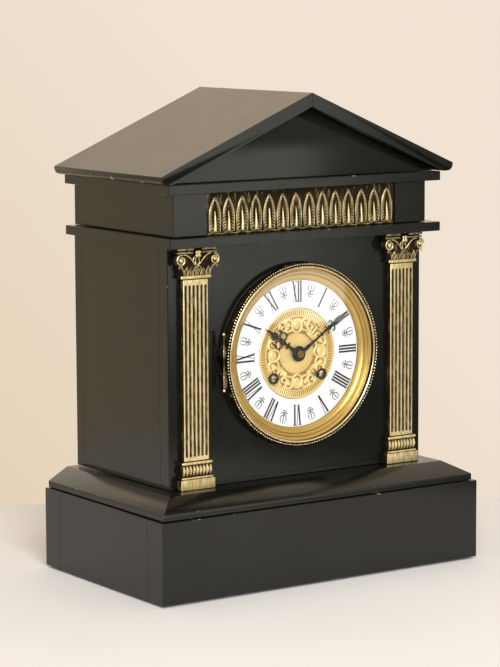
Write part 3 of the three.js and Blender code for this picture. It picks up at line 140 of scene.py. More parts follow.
# The back wall is cream, a little darker low on the left, and warmer where it turns the corner
wall_cream = colour("#f1e2d2")
low_left = (-0.83, 0.56, -0.9)
shade = add_node(room, "ShaderNodeVectorMath", {0: toward, 1: low_left}, operation="DOT_PRODUCT")
shade = add_node(room, "ShaderNodeMapRange", {0: shade[1], 1: 0.03, 2: 0.3})[0]
wall = {0: shade, 6: wall_cream, 7: colour("#e4d0b5")}
wall = add_node(room, "ShaderNodeMix", wall, data_type="RGBA")[2]
right = add_node(room, "ShaderNodeMapRange", {0: across, 1: -0.2, 2: 0.2})[0]
wall = {0: right, 6: colour("#e6d6b0"), 7: wall}
wall = add_node(room, "ShaderNodeMix", wall, data_type="RGBA")[2]

# In front of the clock the room is grey, and darker towards its floor
raised = {0: up, 1: -0.19, 2: -0.06}
raised = add_node(room, "ShaderNodeMapRange", raised, interpolation_type="SMOOTHSTEP")[0]
ahead = {0: raised, 6: colour("#35342d"), 7: colour("#878b81")}
ahead = add_node(room, "ShaderNodeMix", ahead, data_type="RGBA")[2]
behind = {0: deep, 1: -0.5, 2: 0.25}
behind = add_node(room, "ShaderNodeMapRange", behind, interpolation_type="SMOOTHSTEP")[0]
around = {0: behind, 6: ahead, 7: wall}
around = add_node(room, "ShaderNodeMix", around, data_type="RGBA")[2]

# Upwards the walls go over into a pale warm ceiling
overhead = {0: up, 1: 0.06, 2: 0.75}
overhead = add_node(room, "ShaderNodeMapRange", overhead, interpolation_type="SMOOTHSTEP")[0]
around = {0: overhead, 6: around, 7: colour("#f3e3c8")}
around = add_node(room, "ShaderNodeMix", around, data_type="RGBA")[2]

# The room is seen, mirrored and seen through glass as it is, and fills the shadows evenly
seen = add_node(room, "ShaderNodeBackground", {0: around, 1: 1.0})[0]
fill = add_node(room, "ShaderNodeBackground", {0: wall_cream, 1: 0.6})[0]
ray = add_node(room, "ShaderNodeLightPath")
direct = ray["Is Camera Ray"]
for kind in ("Is Glossy Ray", "Is Transmission Ray"):
    direct = add_node(room, "ShaderNodeMath", {0: direct, 1: ray[kind]}, operation="MAXIMUM")[0]
both = add_node(room, "ShaderNodeMixShader", {0: direct, 1: fill, 2: seen})[0]
add_node(room, "ShaderNodeOutputWorld", {0: both})

cloth_width = 1.2
cloth_depth = 0.95
cloth_turn = math.radians(-30.9)
cloth_shift = Vector((-0.14, -0.225, 0))
deselect_all()
bpy.ops.mesh.primitive_grid_add(x_subdivisions=40, y_subdivisions=40, size=1)
cloth = bpy.context.object
cloth.name = "table_cloth"
cloth.scale = (cloth_width, cloth_depth, 1)
cloth.rotation_euler = (0, 0, cloth_turn)
cloth.location = Matrix.Rotation(cloth_turn, 3, "Z") @ cloth_shift
set_in_mesh()

# Woven cotton, pressed flat: pale and quite matt, a little uneven in its white
cloth_finish, tree, shader, place = new_material("woven cotton cloth")
cotton = mottled(tree, place, size=350, detail=2.0, low="#f4efea", high="#fffdfb")[1]
set_inputs(shader, {"Base Color": cotton, "Roughness": 0.85})
cloth.data.materials.append(cloth_finish)

# The light
# Daylight from one large window high on the left, a faint warm glow from the ceiling behind, and
# a small low window on the right that the dial's glass and the slate mirror.

for name, place, aim, size, power, tint in (
    ("window", (-1.3, -2.6, 1.35), (0, 0, 0.2), 1.5, 104, "#f6fbff"),
    ("ceiling", (0.55, 1.3, 1.75), (0, 0, 0.25), 1.6, 3.7, "#ffd6a6"),
    ("garden_window", (0.99, -1.95, 0.28), (0, 0, 0.2), 0.72, 2.5, "#f8f8ec"),
):
    lamp = bpy.data.lights.new(name, "AREA")
    lamp.size = size
    lamp.energy = power
    lamp.color = colour(tint)[:3]
    holder = bpy.data.objects.new(name, lamp)
    scene.collection.objects.link(holder)
    holder.location = place
    holder.rotation_euler = (Vector(place) - Vector(aim)).to_track_quat("Z", "Y").to_euler()

# The camera
# It stands where the photograph was taken from, to the left of the clock and a little above its
# dial, with a long lens. Its place was found from the corners of the case.

eye = (-1.1525, -1.6826, 0.4588)
pan = math.radians(34.198)  # to the right of straight ahead
tilt = math.radians(7.619)  # downwards
roll = 0.0044  # radians, against the clock
camera_data = bpy.data.cameras.new("photograph")
camera_data.lens = 139.33
camera_data.sensor_width = 36
camera_data.clip_start = 0.05
camera = bpy.data.objects.new("photograph", camera_data)
scene.collection.objects.link(camera)
camera.location = eye
turn = Matrix.Rotation(-pan, 3, "Z") @ Matrix.Rotation(math.pi / 2 - tilt, 3, "X")
camera.rotation_euler = (turn @ Matrix.Rotation(-roll, 3, "Z")).to_euler()
scene.camera = camera

# The slate case
# Thick slabs of black slate, cemented together, ground flat and polished. Long handling has
# worn the arrises a little and left small pale chips on them.

arris = 0.5 * MM
on_the_line = 0.02 * MM  # an arris this near a block's outer side lies on it
slab_face = 400 * MM ** 2  # larger faces are a slab's own, smaller ones belong to its arrises


def spotted(tree, place, ground, spot, size, detail, start, full, amount, roughness=0.5):
    """A ground colour with spots of a size in millimetres, fewer as start and full get higher."""
    cover = {"Vector": place, "Scale": 1 / (size * MM), "Detail": detail, "Roughness": roughness}
    cover = add_node(tree, "ShaderNodeTexNoise", cover)[0]
    cover = add_node(tree, "ShaderNodeMapRange", {0: cover, 1: start, 2: full, 4: amount})[0]
    tones = {0: cover, 6: ground, 7: colour(spot)}
    return add_node(tree, "ShaderNodeMix", tones, data_type="RGBA")[2]


# Polished slate: black, fine-grained and glossy, hazy where it is handled, with chipped arrises
polished_slate, tree, shader, place = new_material("polished black slate")
stone = mottled(tree, place, size=60, detail=3.0, low="#0b0b09", high="#151512")[1]
stone = spotted(
    tree, place, stone, "#4c4a42", size=1.2, detail=2.0, start=0.68, full=0.8, amount=0.35
)
wear = add_node(tree, "ShaderNodeAttribute", attribute_name="arris")["Fac"]
stone = spotted(
    tree, place, stone, "#b8b3a6", size=12, detail=4.0, start=0.64, full=0.68, amount=wear,
    roughness=0.7,
)
smear = {"Vector": place, "Scale": 1 / (35 * MM), "Detail": 5.0, "Roughness": 0.6}
smear = add_node(tree, "ShaderNodeTexNoise", smear)[0]
haze = add_node(tree, "ShaderNodeMapRange", {0: smear, 3: 0.08, 4: 0.24})[0]
wave = {"Vector": place, "Scale": 1 / (50 * MM), "Detail": 1.0}
wave = add_node(tree, "ShaderNodeTexNoise", wave)[0]
wave = {"Strength": 0.25, "Distance": 0.2 * MM, "Height": wave}
wave = add_node(tree, "ShaderNodeBump", wave)[0]
set_inputs(shader, {"Base Color": stone, "Roughness": haze, "IOR": 1.47, "Normal": wave})


def merged_copy(node, name):
    """A copy of a CAD piece, its loose triangles merged and its flat faces made whole."""
    deselect_all()
    made = frame["nodes"][node].copy()
    made.data = made.data.copy()
    made.name = name
    made.parent = None
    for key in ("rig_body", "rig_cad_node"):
        if key in made:
            del made[key]
    scene.collection.objects.link(made)
    bpy.context.view_layer.objects.active = made
    made.select_set(True)
    bpy.ops.object.mode_set(mode="EDIT")
    bpy.ops.mesh.select_all(action="SELECT")
    bpy.ops.mesh.remove_doubles(threshold=0.01 * MM)
    bpy.ops.mesh.dissolve_limited(angle_limit=math.radians(1))
    bpy.ops.object.mode_set(mode="OBJECT")
    return made


def dress(piece, finish, slot, body, *nodes):
    """Gives a piece its finish, its body and the CAD nodes that it stands for; the slot is not used."""
    piece.data.materials.clear()
    piece.data.materials.append(finish)
    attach(piece, body)
    if nodes:
        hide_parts(*nodes)


def slab_copy(node, eased):
    """A copy of a slab; its sharp edges are eased where eased(ends) says so."""
    made = merged_copy(node, "polished_" + node)
    bpy.ops.object.mode_set(mode="EDIT")
    bpy.ops.mesh.select_all(action="DESELECT")
    shape = bmesh.from_edit_mesh(made.data)
    for edge in shape.edges:
        if len(edge.link_faces) == 2 and edge.calc_face_angle(0) >= math.radians(20):
            edge.select = eased([vertex.co for vertex in edge.verts])
    bmesh.update_edit_mesh(made.data)
    bpy.ops.mesh.bevel(offset=arris, segments=2, affect="EDGES", clamp_overlap=True)
    shape = bmesh.from_edit_mesh(made.data)
    worn = shape.verts.layers.float.new("arris")
    for vertex in shape.verts:
        vertex[worn] = float(all(face.calc_area() < slab_face for face in vertex.link_faces))
    bmesh.update_edit_mesh(made.data)
    bpy.ops.object.mode_set(mode="OBJECT")
    bpy.ops.object.shade_smooth_by_angle(angle=math.radians(25))
    dress(made, polished_slate, "slate", "case", node)


def on_block(names):
    """Tests whether an edge is an arris of the block that the named slabs make up together."""
    boxes = [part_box(name) for name in names]
    low = [min(box[0][i] for box in boxes) for i in range(3)]
    high = [max(box[1][i] for box in boxes) for i in range(3)]

    def test(ends):
        sides = [
            all(abs(end[i] - limit[i]) < on_the_line for end in ends)
            for i in range(3)
            for limit in (low, high)
        ]
        return sum(sides) >= 2

    return test


plinth_slabs = ["plinth_front", "plinth_back", "plinth_left", "plinth_right"]
body_slabs = ["body_front", "body_back", "body_left", "body_right"]
for group in (plinth_slabs, body_slabs, ["string_course"], ["frieze_block"], ["cornice_slab"]):
    for node in group:
        slab_copy(node, on_block(group))
slab_copy("bevel_slab", lambda ends: True)
# The two roof slabs meet at the ridge, over the middle, and aren't eased there
ridge_half = 1 * MM
for node in ("roof_left", "roof_right"):
    slab_copy(node, lambda ends: not any(abs(end.x) < ridge_half for end in ends))
slab_copy("pediment_block", lambda ends: True)

# The leaf strip
# A long brass stamping let into the frieze: fourteen pointed leaves with raised rims, slanting
# veins and a tapered spike each, small darts between their tips, on a ground made dark with
# age and with painted shade.


def placed(points, centre):
    """Points (across, up, out) in millimetres, seen from the front, as places in the frame."""
    return [centre + Vector((across, -out, up)) * MM for across, up, out in points]


def drawn_mesh(drawing):
    """Turns a drawn curve into a mesh object and makes it the active one."""
    made = bpy.data.objects.new(drawing.name, drawing)
    scene.collection.objects.link(made)
    deselect_all()
    made.select_set(True)
    bpy.context.view_layer.objects.active = made
    bpy.ops.object.convert(target="MESH")
    return bpy.context.object


def stroke_piece(name, strokes, centre, roundness=1):
    """Round ribs in one mesh; each stroke is a list of (across, up, out, half thickness)."""
    drawing = bpy.data.curves.new(name, "CURVE")
    drawing.dimensions = "3D"
    drawing.bevel_depth = 1 * MM
    drawing.bevel_resolution = roundness
    drawing.use_fill_caps = True
    for stroke in strokes:
        spline = drawing.splines.new("POLY")
        spline.points.add(len(stroke) - 1)
        for point, (*at, half) in zip(spline.points, stroke):
            point.co = (*placed([at], centre)[0], 1)
            point.radius = half
    return drawn_mesh(drawing)


def plate_piece(name, outlines, thickness, ease, centre, out):
    """A plate sawn to closed outlines of (across, up) points; outlines inside others are holes."""
    drawing = bpy.data.curves.new(name, "CURVE")
    drawing.dimensions = "2D"
    drawing.fill_mode = "BOTH"
    drawing.extrude = (thickness / 2 - ease) * MM
    drawing.bevel_depth = ease * MM
    drawing.bevel_resolution = 1
    drawing.offset = -ease * MM
    for outline in outlines:
        spline = drawing.splines.new("POLY")
        spline.points.add(len(outline) - 1)
        for point, (across, up) in zip(spline.points, outline):
            point.co = (across * MM, up * MM, 0, 1)
        spline.use_cyclic_u = True
    made = drawn_mesh(drawing)
    made.rotation_euler = (math.pi / 2, 0, 0)
    made.location = centre + Vector((0, -(out - thickness / 2) * MM, 0))
    set_in_mesh()
    return made


def ease_edges(piece, width):
    """Rounds the sharp edges of the active piece by a width in millimetres."""
    rounding = piece.modifiers.new("ease", "BEVEL")
    rounding.width = width * MM
    rounding.segments = 3
    rounding.limit_method = "ANGLE"
    bpy.ops.object.modifier_apply(modifier=rounding.name)


def block_piece(name, low, high, ease, centre):
    """A squared bar with eased edges, from one (across, up, out) corner to the other."""
    first, last = placed([low, high], centre)
    deselect_all()
    bpy.ops.mesh.primitive_cube_add(size=1, location=(first + last) / 2)
    made = bpy.context.object
    made.name = name
    made.scale = [abs(last[i] - first[i]) for i in range(3)]
    set_in_mesh()
    if ease:
        ease_edges(made, ease)
    return made


def raise_to(piece, amount):
    """Marks how bright a surface is painted, from 0 in the ground to 1 on the worn heights; low values
    give patina and painted shade.
    """
    worn = piece.data.attributes.new("raised", "FLOAT", "POINT")
    worn.data.foreach_set("value", [amount] * len(piece.data.vertices))
    return piece


def join_pieces(name, pieces, angle=35):
    """Joins pieces into one object, shaded smooth but for edges sharper than the angle."""
    deselect_all()
    for piece in pieces:
        piece.select_set(True)
    bpy.context.view_layer.objects.active = pieces[0]
    if len(pieces) > 1:
        bpy.ops.object.join()
    made = bpy.context.object
    made.name = name
    made.data.name = name
    bpy.ops.object.shade_smooth_by_angle(angle=math.radians(angle))
    return made


def copy_piece(piece, name, shift):
    """A copy with its own mesh, moved by a vector."""
    made = piece.copy()
    made.data = piece.data.copy()
    made.name = name
    scene.collection.objects.link(made)
    deselect_all()
    made.select_set(True)
    bpy.context.view_layer.objects.active = made
    made.location = shift
    set_in_mesh()
    return made


def rib(points, out, half, taper=1.0):
    """A stroke of even height whose thickness runs from half to half times taper."""
    steps = max(len(points) - 1, 1)
    return [(x, z, out, half * (1 + (taper - 1) * i / steps)) for i, (x, z) in enumerate(points)]


# Stamped brass, lacquered long ago: bright on the worn heights that face the front, and brown
# to black in the hollows and on the sides, partly with patina and partly as painted shade
worn_brass, tree, shader, place = new_material("worn stamped brass")
height = add_node(tree, "ShaderNodeAttribute", attribute_name="raised")["Fac"]
facing = add_node(tree, "ShaderNodeNewGeometry")["Normal"]
facing = add_node(tree, "ShaderNodeSeparateXYZ", {0: facing})[1]
front = add_node(tree, "ShaderNodeMapRange", {0: facing, 1: -0.15, 2: -0.75})[0]
streaks = add_node(tree, "ShaderNodeMapping", {"Vector": place, "Scale": (1, 1, 0.3)})[0]
tarnish = {"Vector": streaks, "Scale": 1 / (2.5 * MM), "Detail": 4.0}
tarnish = add_node(tree, "ShaderNodeTexNoise", tarnish)[0]
tarnish = {0: tarnish, 1: 0.3, 2: 0.7, 3: -0.42, 4: 0.22}
tarnish = add_node(tree, "ShaderNodeMapRange", tarnish)[0]
wear_and_shade = add_node(tree, "ShaderNodeMath", {0: height, 1: front}, operation="MULTIPLY")[0]
wear_and_shade = {0: wear_and_shade, 1: tarnish}
wear_and_shade = add_node(tree, "ShaderNodeMath", wear_and_shade, operation="ADD", use_clamp=True)[0]
# The dark colour stands for patina and for painted shade; the bright one is the clean brass
blotch, old = mottled(tree, place, size=30, detail=2.0, low="#1c1407", high="#3e2f16")
clean = {0: blotch, 6: colour("#e6c47a"), 7: colour("#fff0c4")}
clean = add_node(tree, "ShaderNodeMix", clean, data_type="RGBA")[2]
brass = {0: wear_and_shade, 6: old, 7: clean}
brass = add_node(tree, "ShaderNodeMix", brass, data_type="RGBA")[2]
sheen = add_node(tree, "ShaderNodeMapRange", {0: wear_and_shade, 3: 0.62, 4: 0.33})[0]
pits = {"Vector": place, "Scale": 1 / (1.2 * MM), "Detail": 3.0}
pits = add_node(tree, "ShaderNodeTexNoise", pits)[0]
pits = {"Strength": 0.5, "Distance": 0.16 * MM, "Height": pits}
pits = add_node(tree, "ShaderNodeBump", pits)[0]
set_inputs(shader, {"Base Color": brass, "Metallic": 0.72, "Roughness": sheen, "Normal": pits})

strip_low, strip_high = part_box("leaf_strip")
strip_face = Vector((0, strip_high.y, strip_low.z))
strip_width = (strip_high.x - strip_low.x) / MM
strip_height = (strip_high.z - strip_low.z) / MM
ground_out = 1.2
leaf_count = 14
leaf_pitch = 12.5
leaf_width = 11.6
leaf_height = 26.6
leaf_foot = 2.6
least_half = 0.2  # half width that the outline keeps at the tip
widest_share = 0.3  # of the leaf's height
foot_share = 0.9  # of its greatest width
tip_curve = 2.6
rim_half = 0.45  # half thickness of the raised rim
rib_out = ground_out + 0.75
vein_rows = 10
vein_start_share = 0.05
vein_step_share = 0.088
vein_half = 0.4
vein_slope = 0.8
vein_length = 2.1  # across
vein_margin = 0.7  # from the leaf's outline to the vein's outer end


def leaf_half(share):
    """Half a leaf's width at a share of its height: widest low down, pointed at the tip."""
    if share < widest_share:
        return leaf_width / 2 * (foot_share + (1 - foot_share) * share / widest_share)
    return leaf_width / 2 * (1 - ((share - widest_share) / (1 - widest_share)) ** tip_curve)


def leaf_outline(inset):
    """The leaf from its left foot over the tip to its right foot, inset by a margin."""
    left = []
    for share in (0, 0.15, 0.3, 0.42, 0.54, 0.66, 0.76, 0.85, 0.92):
        half = max(leaf_half(share) - inset, least_half)
        left.append((-half, leaf_foot + share * leaf_height))
    return left + [(0, leaf_foot + leaf_height - inset * 1.5)] + [(-x, z) for x, z in reversed(left)]


def one_leaf(centre):
    """A leaf: a thin pad, its raised rim, rows of slanting veins and the spike before them."""
    pad = plate_piece("pad", [leaf_outline(0.3)], 0.9, 0.25, centre, ground_out + 0.6)
    rim = rib(leaf_outline(0.5), rib_out, rim_half)
    rim += [(0, leaf_foot - 0.3, rib_out, rim_half), rim[0]]
    veins = []
    for row in range(vein_rows):
        share = vein_start_share + row * vein_step_share
        reach = leaf_half(share) - vein_margin
        root = max(reach - vein_length, least_half)
        if reach < root + 0.3:
            continue
        low = leaf_foot + share * leaf_height
        for side in (-1, 1):
            vein = [(side * root, low + (reach - root) * vein_slope), (side * reach, low)]
            veins.append(rib(vein, rib_out, vein_half, 1.2))
    spike = [(0, 0.4, 0.7, 1.75), (0, 5, 1.1, 1.3), (0, 10, 1.0, 0.75), (0, 15.5, 0.7, 0.1)]
    spike = [(x, leaf_foot + z, ground_out + out, half) for x, z, out, half in spike]
    parts = [
        raise_to(pad, 0.03),
        raise_to(stroke_piece("rim", [rim], centre), 0.5),
        raise_to(stroke_piece("veins", veins, centre), 0.85),
        raise_to(stroke_piece("spike", [spike], centre, 2), 1.0),
    ]
    return join_pieces("leaf", parts)


low, high = (-strip_width / 2, 0, 0), (strip_width / 2, strip_height, ground_out)
pieces = [raise_to(block_piece("ground", low, high, 0, strip_face), 0.0)]
first = one_leaf(strip_face - Vector(((leaf_count - 1) / 2 * leaf_pitch * MM, 0, 0)))
pieces.append(first)
for i in range(1, leaf_count):
    pieces.append(copy_piece(first, "leaf", (i * leaf_pitch * MM, 0, 0)))

# Darts stand between the tips and at both ends, and a waved line runs along the foot
dart = [(27.5, ground_out, 0.2), (30.0, ground_out + 0.1, 0.6), (31.0, ground_out, 0.5)]
darts = []
for i in range(leaf_count + 1):
    across = (i - leaf_count / 2) * leaf_pitch
    darts.append([(across, *point) for point in dart])
pieces.append(raise_to(stroke_piece("darts", darts, strip_face), 0.25))
wave_up = 1.2
wave_swing = 0.55
wave_points = 8  # to each leaf
wave = []
for i in range(leaf_count * wave_points + 1):
    across = (i / wave_points - leaf_count / 2) * leaf_pitch
    up = wave_up - wave_swing * math.cos(2 * math.pi * i / wave_points)
    wave.append((across, up, ground_out + 0.1, 0.4))
pieces.append(raise_to(stroke_piece("foot_line", [wave], strip_face), 0.6))
leaf_strip = join_pieces("leaf_strip_stamping", pieces)
dress(leaf_strip, worn_brass, "patinated_brass", "case", "leaf_strip")

# The pilasters
# Each is three brass castings pinned to the front slab: a block base with a row of gadroons,
# a flat shaft with six round-ended flutes, and a scrolled capital of Corinthian kind. The left
# ones are made here and copied to the right.

base_low, base_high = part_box("pilaster_base_left")
shaft_low, shaft_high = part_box("pilaster_shaft_left")
capital_low, capital_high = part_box("pilaster_capital_left")
pilaster_x = (base_low.x + base_high.x) / 2
base_origin = Vector((pilaster_x, base_high.y, base_low.z))
shaft_origin = Vector((pilaster_x, shaft_high.y, shaft_low.z))
capital_origin = Vector((pilaster_x, capital_high.y, capital_low.z))

# The foot: a block, a fillet, nine gadroons in a recess dark with patina and painted shade, and a ring
# over them
lobe_count = 9
lobe_pitch = 3.02
parts = [
    raise_to(block_piece("block", (-15.5, 0, 0), (15.5, 8.2, 7.2), 0.5, base_origin), 0.85),
    raise_to(block_piece("fillet", (-14.3, 8.3, 0), (14.3, 9.9, 6.6), 0.7, base_origin), 1.0),
    raise_to(block_piece("shaded_hollow", (-12.8, 8.2, 0), (12.8, 19.0, 4.6), 0.3, base_origin), 0.0),
]
lobe = [
    (-0.25, 10.9, 4.9, 0.45),
    (-0.1, 12.2, 5.4, 1.0),
    (0, 14.2, 5.7, 1.25),
    (0.1, 16.4, 5.4, 1.15),
    (0.1, 18.2, 4.8, 0.6),
]
lobes = []
for i in range(lobe_count):
    across = (i - (lobe_count - 1) / 2) * lobe_pitch
    lobes.append([(across + x, *rest) for x, *rest in lobe])
parts.append(raise_to(stroke_piece("gadroons", lobes, base_origin, 2), 1.0))
parts.append(raise_to(block_piece("ring", (-14, 19.2, 0), (14, 21.6, 6.5), 1.0, base_origin), 1.0))
base_left = join_pieces("pilaster_foot_left", parts)

# The shaft: each flute is cut by a ball drawn out upwards, so that both its ends are round
shaft_half = 11.2
shaft_out = 5
shaft_height = (shaft_high.z - shaft_low.z) / MM
flute_count = 6
flute_pitch = 3.58
flute_radius = 1.12
flute_foot = 4.2
flute_top = 5.2  # from the shaft's top
shaft_plate = block_piece(
    "shaft", (-shaft_half, 0, 0), (shaft_half, shaft_height, shaft_out), 0.35, shaft_origin
)
cutters = []
for i in range(flute_count):
    foot = ((i - (flute_count - 1) / 2) * flute_pitch, flute_foot, shaft_out)
    deselect_all()
    bpy.ops.mesh.primitive_uv_sphere_add(
        segments=16, ring_count=8, radius=flute_radius * MM, location=placed([foot], shaft_origin)[0]
    )
    cutter = bpy.context.object
    bpy.ops.object.mode_set(mode="EDIT")
    bpy.ops.mesh.select_all(action="DESELECT")
    shape = bmesh.from_edit_mesh(cutter.data)
    for vertex in shape.verts:
        vertex.select = vertex.co.z > 0.01 * MM
    bpy.ops.mesh.select_mode(type="VERT")
    shape.select_flush_mode()
    bmesh.update_edit_mesh(cutter.data)
    bpy.ops.transform.translate(value=(0, 0, (shaft_height - flute_foot - flute_top) * MM))
    bpy.ops.object.mode_set(mode="OBJECT")
    set_in_mesh()
    cutters.append(cutter)
cutter = join_pieces("flute_cutter", cutters)
cut = shaft_plate.modifiers.new("flutes", "BOOLEAN")
cut.operation = "DIFFERENCE"
cut.solver = "EXACT"
cut.object = cutter
deselect_all()
shaft_plate.select_set(True)
bpy.context.view_layer.objects.active = shaft_plate
bpy.ops.object.modifier_apply(modifier=cut.name)
bpy.data.objects.remove(cutter)
# Flute bottoms and sides are marked 0 and so painted dark, as patina and painted shade
bright_from = shaft_low.y + 0.45 * MM  # what lies farther back is in a flute or on a side
heights = [float(vertex.co.y < bright_from) for vertex in shaft_plate.data.vertices]
worn = shaft_plate.data.attributes.new("raised", "FLOAT", "POINT")
worn.data.foreach_set("value", heights)
shaft_left = join_pieces("pilaster_flutes_left", [shaft_plate])


def ball_piece(name, at, radii, centre, segments=12, rings=8):
    """A round boss at (across, up, out), with its half sizes across, up and out."""
    deselect_all()
    bpy.ops.mesh.primitive_uv_sphere_add(
        segments=segments, ring_count=rings, radius=1, location=placed([at], centre)[0]
    )
    made = bpy.context.object
    made.name = name
    made.scale = (radii[0] * MM, radii[2] * MM, radii[1] * MM)
    set_in_mesh()
    return made


def spiral(centre, first, last, start, end, steps):
    """Points of a scroll whose radius shrinks from first to last."""
    points = []
    for i in range(steps + 1):
        share = i / steps
        angle = math.radians(start + (end - start) * share)
        radius = first + (last - first) * share
        points.append((centre[0] + radius * math.cos(angle), centre[1] + radius * math.sin(angle)))
    return points


# The capital: a flared bell with a necking, scrolls and leaves on it, and a bar over each side
bell = [[(-12.6, 2.5), (12.6, 2.5), (15.6, 20.2), (-15.6, 20.2)]]
parts = [
    raise_to(plate_piece("bell", bell, 6, 0.3, capital_origin, 5), 0.0),
    raise_to(block_piece("neck", (-14, 0.3, 0), (14, 3.2, 6.6), 1.3, capital_origin), 1.0),
]
for side in (-1, 1):
    for low, high, depth in ((19.9, 21.3, 8.0), (22.3, 24.2, 8.6)):
        inner, outer = (side * 3.6, low, 0), (side * 18, high, depth)
        bar = block_piece("bar", inner, outer, 0.4, capital_origin)
        parts.append(raise_to(bar, 0.5))

# The lines of one side as (across, up) points; most of them lean out as they go on
scroll_eye = (14.9, 15.0)
sweep = [(2.2, 11.5), (4.2, 14.2), (6.6, 16.8), (9.6, 18.8), (12.4, 19.4)]
scroll = spiral(scroll_eye, 4.2, 1.5, 100, -430, 30)
curled = [(11.3, 3.4), (12.2, 6.5), (13.6, 9.4), (15.4, 10.8), (16.9, 10.2), (17.1, 8.9)]
tall_leaf = [(8.6, 3.4), (8.2, 6.2), (9.6, 9.6), (11.4, 6.6), (11.4, 3.6)]
small_leaf = [(4.0, 3.4), (4.0, 5.6), (5.2, 8.2), (7.0, 6.8), (7.7, 3.6)]
leaf_root = 3.4
turns = len(scroll) - 1
strokes = []
for side in (-1, 1):
    strokes.append(rib([(side * x, z) for x, z in sweep], 7.6, 0.35, 1.8))
    strokes.append([(side * x, z, 8.6 + 0.8 * i / turns, 0.75) for i, (x, z) in enumerate(scroll)])
    strokes.append([(side * x, z, 6.6 + 0.5 * i, 0.55) for i, (x, z) in enumerate(curled)])
    strokes.append([(side * x, z, 6.5 + 0.25 * (z - leaf_root), 0.5) for x, z in tall_leaf])
    strokes.append([(side * x, z, 6.5 + 0.2 * (z - leaf_root), 0.45) for x, z in small_leaf])
    strokes.append([(side * 5.3, 3.6, 6.6, 0.4), (side * 5.7, 6.6, 7.1, 0.35)])
    strokes.append([(side * 9.8, 3.6, 6.6, 0.4), (side * 9.8, 7.6, 7.3, 0.35)])
shell = [(-3.5, 3.5), (-3.6, 6.4), (-2.6, 9.2), (0, 10.6), (2.6, 9.2), (3.6, 6.4), (3.5, 3.5)]
strokes.append([(x, z, 6.7 + 0.3 * (z - leaf_root), 0.55) for x, z in shell])
for across, top in ((-1.9, 8.0), (-0.65, 9.0), (0.65, 9.0), (1.9, 8.0)):
    strokes.append([(across * 0.6, 3.6, 6.7, 0.35), (across, top, 8.0, 0.4)])
for across, up, lean in ((-3.2, 12.6, -1), (2.4, 12.8, 1)):
    stalk = [(0.3 * lean, 10.8), (across * 0.8, up), (across * 0.35, 17.2)]
    strokes.append(rib(stalk, 8.0, 0.35))
pointed = [(-2.4, 11.2), (-4.3, 13.4), (-4.0, 15.8), (-2.9, 17.2), (-2.1, 15.4), (-2.0, 13.0)]
strokes.append(rib([*pointed, pointed[0]], 8.2, 0.4))
parts.append(raise_to(stroke_piece("scrollwork", strokes, capital_origin), 0.7))

# The eyes of the scrolls, the flower of four petals between the bars, and the rolled sides
flower_up = 19.6
petal_ring = 1.75
for side in (-1, 1):
    eye = ball_piece("eye", (side * scroll_eye[0], scroll_eye[1], 9.0), (1.5, 1.5, 0.9), capital_origin)
    parts.append(raise_to(eye, 1.0))
for petal in range(4):
    angle = math.radians(45 + 90 * petal)
    at = (petal_ring * math.cos(angle), flower_up + petal_ring * math.sin(angle), 9.1)
    parts.append(raise_to(ball_piece("petal", at, (1.35, 1.35, 0.7), capital_origin), 1.0))
heart = ball_piece("heart", (0, flower_up, 9.7), (0.95, 0.95, 0.8), capital_origin)
parts.append(raise_to(heart, 1.0))
for side in (-1, 1):
    at = (side * scroll_eye[0], scroll_eye[1], 4.4)
    parts.append(raise_to(ball_piece("roll", at, (4.3, 4.3, 4.2), capital_origin, 20, 12), 0.0))
capital_left = join_pieces("pilaster_head_left", parts)

for left, node in (
    (base_left, "pilaster_base"),
    (shaft_left, "pilaster_shaft"),
    (capital_left, "pilaster_capital"),
):
    right = copy_piece(left, left.name.replace("left", "right"), (-2 * pilaster_x, 0, 0))
    for piece, side in ((left, "left"), (right, "right")):
        dress(piece, worn_brass, "patinated_brass", "case", f"{node}_{side}")

# The dial casing
# A brass pan spun to shape and gilt: its wide flared front shows through the glass as stepped
# coves round the dial. Two straps riveted inside it draw the movement against the case.

dial_low, dial_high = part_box("chapter_ring")
dial_centre = Vector((0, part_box("body_front")[0].y, (dial_low.z + dial_high.z) / 2))


def turned_piece(name, profile, steps=160, centre=dial_centre):
    """A ring or disc turned about the dial's axis; the profile's points are (radius, out)."""
    deselect_all()
    bpy.ops.mesh.primitive_circle_add(vertices=len(profile), fill_type="NOTHING", location=centre)
    set_in_mesh()
    made = bpy.context.object
    made.name = name
    for vertex, (radius, out) in zip(made.data.vertices, profile):
        vertex.co = centre + Vector((radius, -out, 0)) * MM
    bpy.ops.object.mode_set(mode="EDIT")
    bpy.ops.mesh.select_mode(type="EDGE")
    bpy.ops.mesh.select_all(action="DESELECT")
    shape = bmesh.from_edit_mesh(made.data)
    for edge in shape.edges:
        edge.select = all(abs(vertex.co.x - centre.x) < 0.0001 * MM for vertex in edge.verts)
    bmesh.update_edit_mesh(made.data)
    bpy.ops.mesh.delete(type="EDGE")
    bpy.ops.mesh.select_all(action="SELECT")
    bpy.ops.mesh.spin(steps=steps, angle=2 * math.pi, center=centre, axis=(0, 1, 0))
    bpy.ops.mesh.select_all(action="SELECT")
    bpy.ops.mesh.remove_doubles(threshold=0.001 * MM)
    bpy.ops.mesh.select_all(action="SELECT")
    bpy.ops.mesh.normals_make_consistent(inside=False)
    bpy.ops.object.mode_set(mode="OBJECT")
    return made


def post_piece(name, at, radius, length, ease, centre, segments=24):
    """An upright pin or knuckle, its ends eased."""
    deselect_all()
    bpy.ops.mesh.primitive_cylinder_add(
        vertices=segments, radius=radius * MM, depth=length * MM, location=placed([at], centre)[0]
    )
    made = bpy.context.object
    made.name = name
    set_in_mesh()
    ease_edges(made, ease)
    return made
